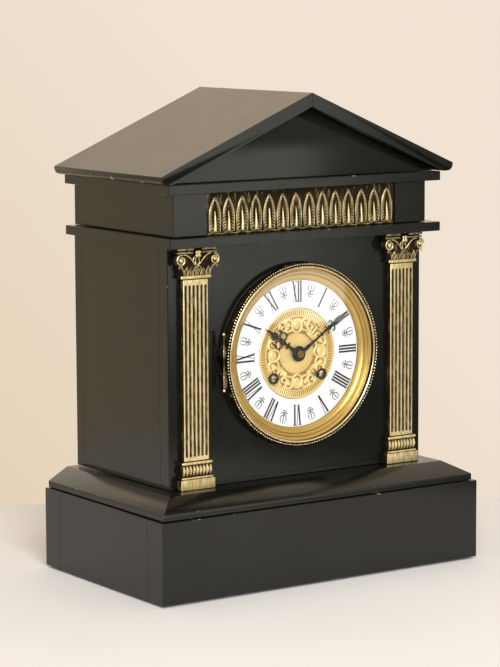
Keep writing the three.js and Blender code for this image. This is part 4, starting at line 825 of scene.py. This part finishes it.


# Fire-gilt brass: deep yellow gold with a soft sheen, a few brown spots, and painted shade in its
# grooves and behind the dial
gilt_brass, tree, shader, place = new_material("fire-gilt brass")
cloud, gold = mottled(tree, place, size=20, detail=3.0, low="#d2a652", high="#e6c678")
gold = spotted(
    tree, place, gold, "#7a5a22", size=3, detail=3.0, start=0.7, full=0.78, amount=0.3
)
shaded_hollow = add_node(tree, "ShaderNodeAttribute", attribute_name="groove_shade")["Fac"]
gold = {0: shaded_hollow, 6: gold, 7: colour("#7c5a1e")}
gold = add_node(tree, "ShaderNodeMix", gold, data_type="RGBA")[2]
sheen = add_node(tree, "ShaderNodeMapRange", {0: cloud, 3: 0.3, 4: 0.42})[0]
set_inputs(shader, {"Base Color": gold, "Metallic": 0.8, "Roughness": sheen})

# From the back of the tube over the flange and the flare to the coves, and back to the tube
casing_profile = [
    (62, -11.5), (62, 0.3), (66, 0.3), (66, 1.3), (68.2, 5.2), (67.3, 5.2),
    (66.9, 5.0), (66.2, 4.75), (65.7, 4.7), (65.5, 4.55), (65.4, 4.2), (65.1, 3.95),
    (64.3, 3.6), (63.5, 3.35), (63.0, 3.3), (62.8, 3.2), (62.7, 2.9), (62.4, 2.6),
    (61.8, 2.1), (60.9, 1.55), (60.0, 1.15), (59.0, 0.85), (58.2, 0.75), (57.95, 0.65),
    (57.85, 0.4), (57.85, -0.3), (60.4, -0.3), (60.4, -10), (45, -10), (45, -11.5),
]
# Between these radii the pan is painted darker as shade: two fine grooves and all that lies behind the
# dial
groove_shade_rings = ((65.05, 65.45), (62.35, 62.85), (0, 57.95))  # radii that each groove lies between
groove_shade_share = 0.7
pan = turned_piece("pan", casing_profile)
groove_shade = pan.data.attributes.new("groove_shade", "FLOAT", "POINT")
for mark, vertex in zip(groove_shade.data, pan.data.vertices):
    radius = math.hypot(vertex.co.x - dial_centre.x, vertex.co.z - dial_centre.z) / MM
    mark.value = groove_shade_share * any(inner < radius < outer for inner, outer in groove_shade_rings)
strap_end = (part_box("dial_casing")[1].y - dial_centre.y) / MM
strap_half = 6
parts = [pan]
for side in (-1, 1):
    low, high = (side * 55.4, -strap_half, -10), (side * 56.9, strap_half, -strap_end + 0.7)
    parts.append(block_piece("strap", low, high, 0.2, dial_centre))
    low = (side * 51.4, -strap_half, -strap_end + 1.5)
    high = (side * 56.8, strap_half, -strap_end)
    parts.append(block_piece("tab", low, high, 0.2, dial_centre))

# The bezel's hinge stands beside the flare: its axis, and the leaf that is fixed to the casing
hinge_across = -74.3
hinge_out = 7.4
knuckle_radius = 1.0
leaf_reach = 9.85
low, high = (hinge_across, -leaf_reach, 0.3), (-65.3, leaf_reach, 1.5)
leaf = block_piece("leaf", low, high, 0.3, dial_centre)
low, high = (hinge_across - 0.6, -leaf_reach, 0.3), (hinge_across + 0.6, leaf_reach, 6.5)
web = block_piece("web", low, high, 0.2, dial_centre)
at = (hinge_across, 0, hinge_out)
knuckle = post_piece("knuckle", at, knuckle_radius, 2 * leaf_reach, 0.3, dial_centre)
casing = join_pieces("gilt_dial_casing", parts, 20)
# The hinge is marked at 0.3, which keeps its gilt dim: painted shade
fixed_hinge = raise_to(join_pieces("fixed_hinge_leaf", [leaf, web, knuckle]), 0.3)
dress(casing, gilt_brass, "gilt_brass", "case", "dial_casing")

# The bezel
# A turned brass ring with a row of pearl beads, hinged on the left on a slender pin with ball
# ends. It holds a flat glass with a wide bevel. The beads are a little coarser than real ones,
# because finer ones run together at the size of the picture.


def spin_copies(count):
    """Repeats the active piece round the dial's axis until there are count of it, evenly."""
    bpy.ops.object.mode_set(mode="EDIT")
    bpy.ops.mesh.select_all(action="SELECT")
    bpy.ops.mesh.spin(
        steps=count - 1,
        angle=2 * math.pi * (count - 1) / count,
        dupli=True,
        center=dial_centre,
        axis=(0, 1, 0),
    )
    bpy.ops.object.mode_set(mode="OBJECT")


bezel_profile = [
    (67.7, 7.9), (67.75, 8.5), (68.1, 8.85), (68.5, 8.9), (69.0, 8.75), (69.3, 8.3),
    (69.45, 7.5), (69.7, 6.9), (71.2, 6.9), (71.4, 6.7), (71.4, 5.8), (71.9, 5.65),
    (72.1, 5.4), (72.0, 5.1), (71.4, 5.0), (69.2, 5.0), (68.9, 5.4), (68.9, 7.3),
]
bead_count = 190
bead_place = (70.85, 0, 7.9)
bead_half = (0.72, 0.72, 0.95)
rim = turned_piece("rim", bezel_profile, 200)
bead = ball_piece("bead", bead_place, bead_half, dial_centre, 8, 6)
spin_copies(bead_count)
# The knuckles and lugs are marked at 0.3, which keeps them dim: painted shade
knuckles = []
for side in (-1, 1):
    at = (hinge_across, side * 15.1, hinge_out)
    knuckle = post_piece("knuckle", at, knuckle_radius, 9.8, 0.3, dial_centre)
    knuckles.append(raise_to(knuckle, 0.3))
    low, high = (hinge_across, side * 10.2, 7.5), (-71.5, side * 20, 8.1)
    knuckles.append(raise_to(block_piece("lug", low, high, 0.15, dial_centre), 0.3))
bezel = join_pieces("beaded_bezel", [raise_to(rim, 1.0), raise_to(bead, 1.0), *knuckles], 40)

# Old gilt: bright on the fronts of the beads and the rim; between the beads and on the wall behind them
# it is near black, which is painted shade
shaded_gilt, tree, shader, place = new_material("gilt brass with painted shade")
away = add_node(tree, "ShaderNodeSeparateXYZ", {0: place})[1]
front_shaded, front_bright, back_shaded, back_bright = [
    dial_centre.y - out * MM for out in (7.9, 8.3, 5.3, 5.1)
]
front = {0: away, 1: front_shaded, 2: front_bright}
front = add_node(tree, "ShaderNodeMapRange", front)[0]
back = {0: away, 1: back_shaded, 2: back_bright, 4: 0.6}
back = add_node(tree, "ShaderNodeMapRange", back)[0]
height = add_node(tree, "ShaderNodeAttribute", attribute_name="raised")["Fac"]
wear_and_shade = add_node(tree, "ShaderNodeMath", {0: front, 1: back}, operation="MAXIMUM")[0]
wear_and_shade = add_node(tree, "ShaderNodeMath", {0: wear_and_shade, 1: height}, operation="MULTIPLY")[0]
uneven = {"Vector": place, "Scale": 1 / (6 * MM), "Detail": 4.0}
uneven = add_node(tree, "ShaderNodeTexNoise", uneven)[0]
uneven = {0: uneven, 1: 0.35, 2: 0.65, 3: -0.25, 4: 0.15}
uneven = add_node(tree, "ShaderNodeMapRange", uneven)[0]
wear_and_shade = {0: wear_and_shade, 1: uneven}
wear_and_shade = add_node(tree, "ShaderNodeMath", wear_and_shade, operation="ADD", use_clamp=True)[0]
gold = {0: wear_and_shade, 6: colour("#1c1408"), 7: colour("#f6e2b4")}
gold = add_node(tree, "ShaderNodeMix", gold, data_type="RGBA")[2]
sheen = add_node(tree, "ShaderNodeMapRange", {0: wear_and_shade, 3: 0.5, 4: 0.25})[0]
set_inputs(shader, {"Base Color": gold, "Metallic": 1.0, "Roughness": sheen})
dress(bezel, shaded_gilt, "gilt_brass", "bezel", "bezel_door")

# The pin is marked at 0.4, which keeps it dim as painted shade; its ball ends are left bright
at = (hinge_across, 0, hinge_out)
parts = [raise_to(post_piece("pin", at, 0.75, 42, 0.2, dial_centre, 12), 0.4)]
for side in (-1, 1):
    at = (hinge_across, side * 21.7, hinge_out)
    parts.append(raise_to(ball_piece("ball", at, (1.45, 1.45, 1.6), dial_centre, 16, 10), 0.9))
hinge_pin = join_pieces("hinge_pin_with_balls", parts, 40)
dress(hinge_pin, shaded_gilt, "gilt_brass", "case", "bezel_hinge_pin")
dress(fixed_hinge, shaded_gilt, "gilt_brass", "case", "dial_casing")

# The glass
# A flat disc of crown glass with a wide bevel, ground and polished. It is held in the bezel and
# swings with it.

# Clear crown glass: it shows only by what it mirrors, more so at a slant, and on its outer side
crown_glass = new_material("clear crown glass")[0]
tree = crown_glass.node_tree
tree.nodes.clear()
through = add_node(tree, "ShaderNodeBsdfTransparent", {"Color": colour("#fdfdfd")})[0]
mirror = {"Color": colour("#ffffff"), "Roughness": 0.02}
mirror = add_node(tree, "ShaderNodeBsdfGlossy", mirror)[0]
slant = add_node(tree, "ShaderNodeFresnel", {"IOR": 1.45})[0]
inside = add_node(tree, "ShaderNodeNewGeometry")["Backfacing"]
gain = add_node(tree, "ShaderNodeMapRange", {0: inside, 3: 2.6, 4: 0.0})[0]
slant = {0: slant, 1: gain}
slant = add_node(tree, "ShaderNodeMath", slant, operation="MULTIPLY", use_clamp=True)[0]
both = add_node(tree, "ShaderNodeMixShader", {0: slant, 1: through, 2: mirror})[0]
add_node(tree, "ShaderNodeOutputMaterial", {"Surface": both})

glass_profile = [(0, 7.8), (65.9, 7.8), (68.5, 6.8), (68.5, 5.8), (0, 5.8)]
pane = join_pieces("bevelled_glass", [turned_piece("pane", glass_profile)], 5)
dress(pane, crown_glass, "bezel_glass", "bezel", "bezel_glass")

# The hour ring
# A copper ring covered with white enamel, its edges rounded, that stands in front of the dial
# plate. The hours and the small marks between them are painted and fired on it.

# Vitreous enamel: fired white glass, slightly blue, very glossy, with a barely uneven surface
vitreous_enamel, tree, shader, place = new_material("white vitreous enamel")
fired, white = mottled(tree, place, size=8, detail=3.0, low="#f4f5fa", high="#fdfdff")
ripple = {"Strength": 0.2, "Distance": 0.05 * MM, "Height": fired}
ripple = add_node(tree, "ShaderNodeBump", ripple)[0]
set_inputs(shader, {"Base Color": white, "Roughness": 0.08, "IOR": 1.52, "Normal": ripple})

enamel_out = (dial_centre.y - dial_low.y) / MM
ring_profile = [(36, -1.6), (36, -0.25), (36.4, 0), (58.3, 0), (58.6, -0.3), (58.6, -1.6)]
ring_profile = [(radius, enamel_out + out) for radius, out in ring_profile]
enamel_ring = turned_piece("ring", ring_profile)
enamel_ring = join_pieces("enamel_hour_ring", [enamel_ring], 30)
dress(enamel_ring, vitreous_enamel, "enamel", "case", "chapter_ring")

# The painted hours
# Roman hours with their feet towards the centre, and at each half hour a small trident of five
# fine lines and five dots. The paint is a twentieth of a millimetre thick.

numeral_foot = 40.6
numeral_top = 56.8
paint = 0.05
thick = 1.5
thin = 0.5
serif = 0.4
wide, narrow = 1.425, 1.125  # half the length of a serif on a thick and on a thin stroke
slant = 1.55  # how far a slanting stroke's end stands from the letter's middle
hours = ("XII", "I", "II", "III", "IIII", "V", "VI", "VII", "VIII", "IX", "X", "XI")
hour_step = 360 / len(hours)  # degrees on the dial

# Each letter's width, its strokes (foot, top, thickness) and its serifs at the foot and the top
top_serifs = [(-slant, wide), (slant, narrow)]
foot_serifs = [(slant, wide), (-slant, narrow)]
letters = {
    "I": (2.3, [(0, 0, thick)], [(0, wide)], [(0, wide)]),
    "V": (4.9, [(0, -slant, thick), (0.45, slant, thin)], [], top_serifs),
    "X": (4.9, [(slant, -slant, thick), (-slant, slant, thin)], foot_serifs, top_serifs),
}


def bar_outline(foot, top, half):
    """A straight stroke from foot to top as a closed outline, cut off level at both ends."""
    (x, low), (above, high) = foot, top
    return [(x - half, low), (x + half, low), (above + half, high), (above - half, high)]


def turned_about(points, angle):
    """Points turned clockwise about the dial's middle by an angle in degrees."""
    cos, sin = math.cos(math.radians(angle)), math.sin(math.radians(angle))
    return [(x * cos + z * sin, z * cos - x * sin) for x, z in points]


def painted_piece(outline):
    """One closed outline of paint on the enamel."""
    return plate_piece("paint", [outline], paint, 0, dial_centre, enamel_out + paint)


def ribbon(points, halves):
    """The closed outline of a flat stroke along points, half as wide as halves says at each."""
    left, right = [], []
    for i, ((x, z), half) in enumerate(zip(points, halves)):
        before, after = points[max(i - 1, 0)], points[min(i + 1, len(points) - 1)]
        dx, dz = after[0] - before[0], after[1] - before[1]
        reach = half / math.hypot(dx, dz)
        left.append((x - dz * reach, z + dx * reach))
        right.append((x + dz * reach, z - dx * reach))
    return left + right[::-1]


def arc(radius, start, end, steps, centre=(0, 0), stretch=1.0):
    """Points along a circle, its angles in degrees."""
    angles = [math.radians(start + (end - start) * i / steps) for i in range(steps + 1)]
    across, up = centre
    return [(across + radius * math.cos(a), up + radius * stretch * math.sin(a)) for a in angles]


painted = []
for hour, name in enumerate(hours):
    left = -sum(letters[letter][0] for letter in name) / 2
    for letter in name:
        width, strokes, foot_ends, top_ends = letters[letter]
        middle = left + width / 2
        outlines = []
        for foot, top, thickness in strokes:
            ends = (middle + foot, numeral_foot), (middle + top, numeral_top)
            outlines.append(bar_outline(*ends, thickness / 2))
        for up, serifs in ((numeral_foot, foot_ends), (numeral_top, top_ends)):
            for at, half in serifs:
                ends = (middle + at, up - serif / 2), (middle + at, up + serif / 2)
                outlines.append(bar_outline(*ends, half))
        for outline in outlines:
            painted.append(painted_piece(turned_about(outline, hour_step * hour)))
        left += width

# A half-hour mark: its lines with their half thickness at each point, and its dots
mark_lines = [([(0, 46.6), (0, 50), (0, 53), (0, 56.0)], [0.28, 0.34, 0.34, 0.2])]
mark_dots = [(0, 45.6, 0.6)]
for side in (-1, 1):
    outer = [(0.2, 48.9), (1.9, 49.9), (2.8, 51.8), (2.7, 53.6), (1.6, 55.4)]
    arm = [(0.1, 48.0), (1.2, 47.3), (2.1, 47.5)]
    mark_lines.append(([(side * x, z) for x, z in outer], [0.34, 0.36, 0.32, 0.28, 0.2]))
    mark_lines.append(([(side * x, z) for x, z in arm], [0.32, 0.36, 0.32]))
    mark_dots += [(side * 2.4, 47.8, 0.62), (side * 1.3, 45.9, 0.5)]
mark = [painted_piece(ribbon(*line)) for line in mark_lines]
for across, up, size in mark_dots:
    mark.append(painted_piece(arc(size, 0, 324, 9, (across, up))))
marks = join_pieces("marks", mark, 30)
bpy.ops.object.mode_set(mode="EDIT")
bpy.ops.mesh.select_all(action="SELECT")
bpy.ops.transform.rotate(value=math.radians(hour_step / 2), orient_axis="Y", center_override=dial_centre)
bpy.ops.object.mode_set(mode="OBJECT")
spin_copies(len(hours))
numerals = join_pieces("painted_hours", [*painted, marks], 30)

# Black ceramic paint fired on the enamel, a little thin at places
ceramic_paint, tree, shader, place = new_material("fired black paint")
black = mottled(tree, place, size=2, detail=2.0, low="#16181c", high="#3a3d42")[1]
set_inputs(shader, {"Base Color": black, "Roughness": 0.3})
dress(numerals, ceramic_paint, "enamel", "case")

# The dial's centre
# A thin brass plate, pressed from behind and gilt: a ring of fine reeds, four shields among
# scrolls and leaves, and a sunburst round the hands. Two holes for the winding key have dark rims.

reed_count = 108
ray_count = 40

# From the bore for the hands over the sunburst, the ground, a rim and the reeds to the outer rim
centre_profile = [
    (3.7, -0.4), (13.6, -0.65), (15.6, -0.65), (16.4, -1.2), (28.4, -1.2), (28.9, -0.1), (29.5, 0),
    (29.9, -1.15), (34.1, -1.15), (34.4, 0), (35.2, 0), (35.6, -0.3),
]
centre_profile = [(radius, enamel_out + out) for radius, out in centre_profile]
plate_profile = [(3.7, -3.3), *centre_profile, (35.6, -2.5), (58.6, -2.5), (58.6, -3.3)]
parts = [turned_piece("disc", plate_profile)]
reed = [(0, 29.6, enamel_out - 0.6, 0.46), (0, 34.3, enamel_out - 0.6, 0.56)]
parts.append(stroke_piece("reed", [reed], dial_centre, 0))
spin_copies(reed_count)
ray = [(5.6, -0.6, 0.33), (9.5, -0.7, 0.6), (13.4, -0.75, 0.85), (15.8, -0.9, 0.6)]
ray = [(0, up, enamel_out + out, half) for up, out, half in ray]
parts.append(stroke_piece("ray", [ray], dial_centre, 1))
spin_copies(ray_count)

# One quarter: a shield with a fan of five gadroons over it, and scrolls and leaves at its sides
shield_up = 21.6
fan = (-62, -31, 0, 31, 62)
side_curves = (
    (spiral((8.6, 23.4), 4.3, 1.0, 215, -230, 24), 1.15, 0.8),
    (spiral((13.2, 20.6), 3.6, 0.9, 120, 480, 20), 1.1, 0.8),
    ([(4.2, 19.4), (6.4, 18.0), (9.2, 17.6), (12.0, 16.4)], 1.15, 0.7),
    ([(5.0, 26.8), (8.0, 27.4), (11.2, 26.2), (13.6, 24.2)], 0.9, 0.7),
    ([(10.6, 27.0), (12.4, 26.4)], 0.8, 0.7),
    ([(15.6, 23.8), (17.2, 21.6), (17.4, 19.4)], 1.1, 0.6),
    ([(8.2, 20.4), (9.6, 19.4)], 0.8, 0.8),
)
figure = [rib(arc(4.4, 0, 360, 18, (0, shield_up), 1.15), enamel_out - 0.5, 1.1)]
for spread in fan:
    sin, cos = math.sin(math.radians(spread)), math.cos(math.radians(spread))
    gadroon = [(2.2 * sin, 25.4 + 0.6 * cos), (4.6 * sin, 24.9 + 2.9 * cos)]
    figure.append(rib(gadroon, enamel_out - 0.4, 0.75, 1.35))
for side in (-1, 1):
    for points, half, taper in side_curves:
        points = [(side * x, z) for x, z in points]
        figure.append(rib(points, enamel_out - 0.4, half, taper))
relief_ribs = []
for quarter in range(4):
    for line in figure:
        points = turned_about([point[:2] for point in line], 90 * quarter)
        relief_ribs.append([(*at, *point[2:]) for at, point in zip(points, line)])

# Fans of leaves between the quarters: long ones above, short ones below over the winding holes
for corner, low, reach in ((45, 16.5, 10.5), (-45, 16.5, 10.5), (135, 16.9, 5.2), (-135, 16.9, 5.2)):
    for spread in (-24, -12, 0, 12, 24):
        lean = math.radians(spread * 1.3)
        foot = (low * 0.4 * math.sin(math.radians(spread)), low + 0.5)
        tip = (foot[0] + reach * math.sin(lean), foot[1] + reach * (1 - abs(spread) / 60))
        middle = ((foot[0] + tip[0]) / 2, (foot[1] + tip[1]) / 2)
        points = turned_about([foot, middle, tip], corner)
        halves = (0.6, 1.15, 0.85)
        relief_ribs.append([(*at, enamel_out - 0.7, half) for at, half in zip(points, halves)])
parts.append(stroke_piece("scrolls", relief_ribs, dial_centre, 2))
for quarter in range(4):
    at = (*turned_about([(0, 22.4)], 90 * quarter)[0], enamel_out - 0.8)
    parts.append(ball_piece("dome", at, (3.3, 3.5, 1.1), dial_centre, 16, 8))
    for side in (-1, 1):
        at = (*turned_about([(side * 8.6, 23.4)], 90 * quarter)[0], enamel_out - 0.7)
        parts.append(ball_piece("dome", at, (1.3, 1.3, 1.1), dial_centre, 12, 6))
centre_plate = join_pieces("pressed_dial_centre", parts, 30)

# Pressed brass, gilt bright: warm yellow, with painted highlight on the heights of the relief and
# painted shade, dark brown, in its ground
pressed_gilt, tree, shader, place = new_material("pressed gilt brass")
away = add_node(tree, "ShaderNodeSeparateXYZ", {0: place})[1]
low_y, high_y = [dial_centre.y - (enamel_out - depth) * MM for depth in (1.5, 0.5)]
height = add_node(tree, "ShaderNodeMapRange", {0: away, 1: low_y, 2: high_y})[0]
gold = {0: height, 6: colour("#96581a"), 7: colour("#ffe8a6")}
gold = add_node(tree, "ShaderNodeMix", gold, data_type="RGBA")[2]
mottle = {"Vector": place, "Scale": 1 / (2 * MM), "Detail": 3.0}
mottle = add_node(tree, "ShaderNodeTexNoise", mottle)[0]
sheen = add_node(tree, "ShaderNodeMapRange", {0: mottle, 3: 0.38, 4: 0.55})[0]
set_inputs(shader, {"Base Color": gold, "Metallic": 0.55, "Roughness": sheen})
dress(centre_plate, pressed_gilt, "gilt_brass", "case", "dial_plate")

winding_low, winding_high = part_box("going_winding_arbor")
winding_x = (winding_low.x + winding_high.x) / 2
winding_z = (winding_low.z + winding_high.z) / 2
grommet_profile = [(2.8, -3), (2.8, 0.6), (3.2, 1.25), (4.0, 1.35), (4.4, 0.9), (4.4, -3)]
for side, name in ((1, "going_grommet"), (-1, "strike_grommet")):
    hole = Vector((side * winding_x, dial_centre.y, winding_z))
    lip = join_pieces(name, [turned_piece(name, grommet_profile, 40, hole)], 30)
    dress(lip, ceramic_paint, "gilt_brass", "case")

# The hands
# Sawn from thin steel, filed and blued nearly black: the hour hand has two pierced lobes and
# a spear tip, the minute hand a pair of scrolls and a long blade. They show nine minutes past ten.

hand_thickness = 0.7
hand_ease = 0.1
hour_shown = 10
minutes_shown = 9.4
hour_angle = (hour_shown + minutes_shown / 60) * hour_step
minute_angle = minutes_shown / 60 * 360


def sawn_hand(name, plates, angle, node):
    """A hand from its plates, each a list of outlines, turned to an angle on the dial."""
    out = (dial_centre.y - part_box(node)[0].y) / MM
    made = []
    for outlines in plates:
        turned = [turned_about(outline, angle) for outline in outlines]
        made.append(plate_piece("plate", turned, hand_thickness, hand_ease, dial_centre, out))
    return join_pieces(name, made, 30)


edge = [
    (1.5, 6.0), (1.1, 9.4), (0.9, 11.2), (2.9, 12.0), (2.9, 13.0), (0.9, 13.6), (0.8, 17.0),
    (0.75, 24.2), (1.4, 26.0), (3.0, 27.0), (2.2, 29.2), (1.3, 31.6), (0.6, 36.0),
]
outline = arc(6.2, 104, 436, 30) + edge + [(0, 38.7)] + [(-x, z) for x, z in reversed(edge)]
plates = [[outline[::-1], arc(3.2, 0, 340, 16)]]
lobe_lines = (
    ([(0.4, 15.6), (1.6, 17.2), (2.6, 18.2)], [0.5, 0.5, 0.4]),
    ([(2.8, 23.4), (1.6, 24.4), (0.4, 26.2)], [0.4, 0.5, 0.5]),
    ([(5.6, 23.2), (6.6, 24.8), (6.0, 26.4), (4.8, 26.2)], [0.5, 0.5, 0.45, 0.3]),
    ([(6.2, 18.4), (7.2, 17.2)], [0.5, 0.3]),
)
for side in (-1, 1):
    middle = (side * 4.0, 20.6)
    plates.append([arc(3.3, 0, 345, 23, middle, 1.16), arc(2.3, 0, 340, 17, middle, 1.25)])
    for points, halves in lobe_lines:
        plates.append([ribbon([(side * x, z) for x, z in points], halves)])
hour_hand = sawn_hand("sawn_hour_hand", plates, hour_angle, "hour_hand")

edge = [
    (1.2, 3.4), (1.5, 9), (0.8, 14), (0.6, 24), (1.7, 25.2), (0.6, 26.4), (0.55, 32.6),
    (0.5, 38.2), (1.1, 39.4), (2.2, 43.0), (1.9, 46.0), (1.0, 50.0), (0.5, 53.4),
]
outline = arc(3.3, 110, 430, 20) + [(-x, z) for x, z in edge] + [(0, 54.7)] + edge[::-1]
plates = [[outline, arc(1.95, 0, 340, 14)]]
curl = [(0.2, 32.8), (0.8, 34.2), *spiral((2.9, 36.4), 2.2, 1.2, 200, -50, 16)]
hook = [(0.2, 35.4), *spiral((2.7, 32.4), 1.9, 1.2, 120, 330, 10)]
for side in (-1, 1):
    for line in (curl, hook):
        halves = [0.42] * (len(line) - 1) + [0.25]
        plates.append([ribbon([(side * x, z) for x, z in line], halves)])
minute_hand = sawn_hand("sawn_minute_hand", plates, minute_angle, "minute_hand")

# Steel blued by heat: almost black, with a soft blue-grey sheen
blued_steel, tree, shader, place = new_material("heat-blued steel")
blue = mottled(tree, place, size=10, detail=3.0, low="#3b3a38", high="#5a5a5c")[1]
set_inputs(shader, {"Base Color": blue, "Metallic": 0.9, "Roughness": 0.38})
dress(hour_hand, blued_steel, "blued_steel", "hour", "hour_hand")
dress(minute_hand, blued_steel, "blued_steel", "centre", "minute_hand")

# The back of the case
# A turned brass ring, drawn against the back slab by the straps, and a round domed door that
# swings on a hinge at its side. The door keeps dust out and is opened to reach the pendulum.

slab_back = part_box("body_back")[1].y
rear_centre = Vector((0, slab_back, dial_centre.z))
rear_hinge = (70, 0, -2.9)
ring_tube = (rear_centre.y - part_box("rear_ring")[0].y) / MM

# Turned clock brass: plain yellow, clouded brown by age, with a few dull spots
clock_brass, tree, shader, place = new_material("turned clock brass")
cloud, yellow = mottled(tree, place, size=15, detail=4.0, low="#b8923f", high="#dcc07c")
yellow = spotted(
    tree, place, yellow, "#6e5528", size=4, detail=5.0, start=0.6, full=0.72, amount=0.7,
    roughness=0.65,
)
sheen = add_node(tree, "ShaderNodeMapRange", {0: cloud, 3: 0.2, 4: 0.36})[0]
set_inputs(shader, {"Base Color": yellow, "Metallic": 1.0, "Roughness": sheen, "Anisotropic": 0.4})

ring_profile = [
    (62.3, ring_tube), (62.3, -0.3), (67.3, -0.3), (67.5, -0.5), (67.5, -1.3), (67.3, -1.5),
    (60.9, -1.5), (60.8, -1.3), (60.8, ring_tube - 1.2), (52, ring_tube - 1.2), (52, ring_tube),
]
parts = [
    turned_piece("ring", ring_profile, 128, rear_centre),
    post_piece("pin", rear_hinge, 0.8, 28, 0.15, rear_centre, 12),
]
for side in (-1, 1):
    at = (rear_hinge[0], side * 9.575, rear_hinge[2])
    parts.append(post_piece("knuckle", at, 2, 8.85, 0.3, rear_centre))
    low, high = (64, side * 5.2, -1.5), (70, side * 13.9, -0.4)
    parts.append(block_piece("lug", low, high, 0.2, rear_centre))
rear_ring = join_pieces("turned_rear_ring", parts)

door_profile = [
    (0, -5.2), (46.8, -5.2), (47.6, -5.1), (48.2, -4.7), (51.6, -2.2), (52.6, -1.8), (65.6, -1.8),
    (66, -2.0), (66, -2.6), (65.6, -2.8), (53.2, -2.8), (52.5, -3.1), (48.9, -5.8), (48.2, -6.2),
    (20, -6.2), (19.6, -6.05), (19.2, -6.2), (3.4, -6.2), (3.2, -6.1), (0, -6.1),
]
parts = [
    turned_piece("disc", door_profile, 128, rear_centre),
    post_piece("knuckle", rear_hinge, 2, 9.7, 0.3, rear_centre),
    block_piece("lug", (64, -4.8, -2.8), (70, 4.8, -1.8), 0.2, rear_centre),
]
rear_door = join_pieces("domed_rear_door", parts)
dress(rear_ring, clock_brass, "brass", "case", "rear_ring")
dress(rear_door, clock_brass, "brass", "rear_door", "rear_door")

# The movement
# An eight-day French striking movement: two brass plates held by pillars, two spring barrels
# wound from the front, wheels cut from brass, and arbors and levers of steel. Its shapes are
# the CAD pieces' own.


def smoothed_copy(node, finish, slot):
    """A copy of a CAD piece that rides where the piece does, its round walls shaded smooth."""
    body = frame["nodes"][node]["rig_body"]
    made = merged_copy(node, "made_" + node)
    bpy.ops.object.shade_smooth_by_angle(angle=math.radians(40))
    dress(made, finish, slot, body, node)


# Polished steel: cool grey, a little clouded, with traces of brown tarnish
clock_steel, tree, shader, place = new_material("polished steel")
cloud, grey = mottled(tree, place, size=10, detail=4.0, low="#8d8f92", high="#b9bcbe")
grey = spotted(
    tree, place, grey, "#6b5a48", size=3, detail=4.0, start=0.62, full=0.75, amount=0.6
)
sheen = add_node(tree, "ShaderNodeMapRange", {0: cloud, 3: 0.18, 4: 0.34})[0]
set_inputs(shader, {"Base Color": grey, "Metallic": 1.0, "Roughness": sheen})

brass_pieces = (
    "front_plate back_plate going_barrel strike_barrel intermediate_wheel centre_arbor third_wheel "
    "escape_wheel suspension_cock pendulum minute_wheel hour_wheel pin_wheel fly hand_collet"
)
steel_pieces = (
    "going_winding_arbor strike_winding_arbor going_click strike_click anchor hammer bell_stand"
)
for node in brass_pieces.split():
    smoothed_copy(node, clock_brass, "brass")
for node in steel_pieces.split():
    smoothed_copy(node, clock_steel, "steel")

# The feet
# Four thin discs of dark felt, glued under the corners of the plinth. They keep the slate from
# scratching the mantelpiece.

# Wool felt: dark, matt and fibrous, with a faint pale nap
dark_felt, tree, shader, place = new_material("dark wool felt")
fibre, wool = mottled(tree, place, size=0.6, detail=3.0, low="#1f1c18", high="#4b453b")
nap = add_node(tree, "ShaderNodeBump", {"Strength": 0.5, "Distance": 0.1 * MM, "Height": fibre})[0]
set_inputs(shader, {"Base Color": wool, "Roughness": 0.95, "Sheen Weight": 0.3, "Normal": nap})
for node in ("foot_front_left", "foot_back_left", "foot_front_right", "foot_back_right"):
    smoothed_copy(node, dark_felt, "felt")

# The bell
# Cast bell metal, turned thin towards its lip, and held by a stand behind the movement, where
# the hammer strikes its edge.

# Bell metal: a pale bronze, polished bright, clouded brown where it was touched
bell_bronze, tree, shader, place = new_material("polished bell metal")
cloud = {"Vector": place, "Scale": 1 / (12 * MM), "Detail": 5.0}
cloud = add_node(tree, "ShaderNodeTexNoise", cloud)[0]
cloud = add_node(tree, "ShaderNodeMapRange", {0: cloud, 1: 0.35, 2: 0.65})[0]
bronze = {0: cloud, 6: colour("#9a743c"), 7: colour("#d9bd86")}
bronze = add_node(tree, "ShaderNodeMix", bronze, data_type="RGBA")[2]
sheen = add_node(tree, "ShaderNodeMapRange", {0: cloud, 3: 0.32, 4: 0.16})[0]
set_inputs(shader, {"Base Color": bronze, "Metallic": 1.0, "Roughness": sheen})

bell_low, bell_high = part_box("bell")
bell_radius = (bell_high.x - bell_low.x) / 2 / MM
bell_crown = (dial_centre.y - bell_high.y) / MM
bell_mouth = (dial_centre.y - bell_low.y) / MM - bell_crown
outer = [
    (2.3, 0), (9, 0.3), (15.5, 1.6), (20.5, 4.0), (24.6, 7.4), (27.4, 11.6), (29, 16), (29.7, 19.4),
    (bell_radius, bell_mouth),
]
inner = [
    (28.5, bell_mouth), (28.1, 19), (27.3, 16.2), (25.6, 12.2), (22.9, 8.6), (19.2, 5.4),
    (14.6, 3.2), (8.8, 1.9), (2.3, 1.6),
]
bell_profile = [(radius, bell_crown + out) for radius, out in outer + inner]
bell = join_pieces("cast_bell", [turned_piece("dome", bell_profile, 96)])
dress(bell, bell_bronze, "bell_metal", "case", "bell")
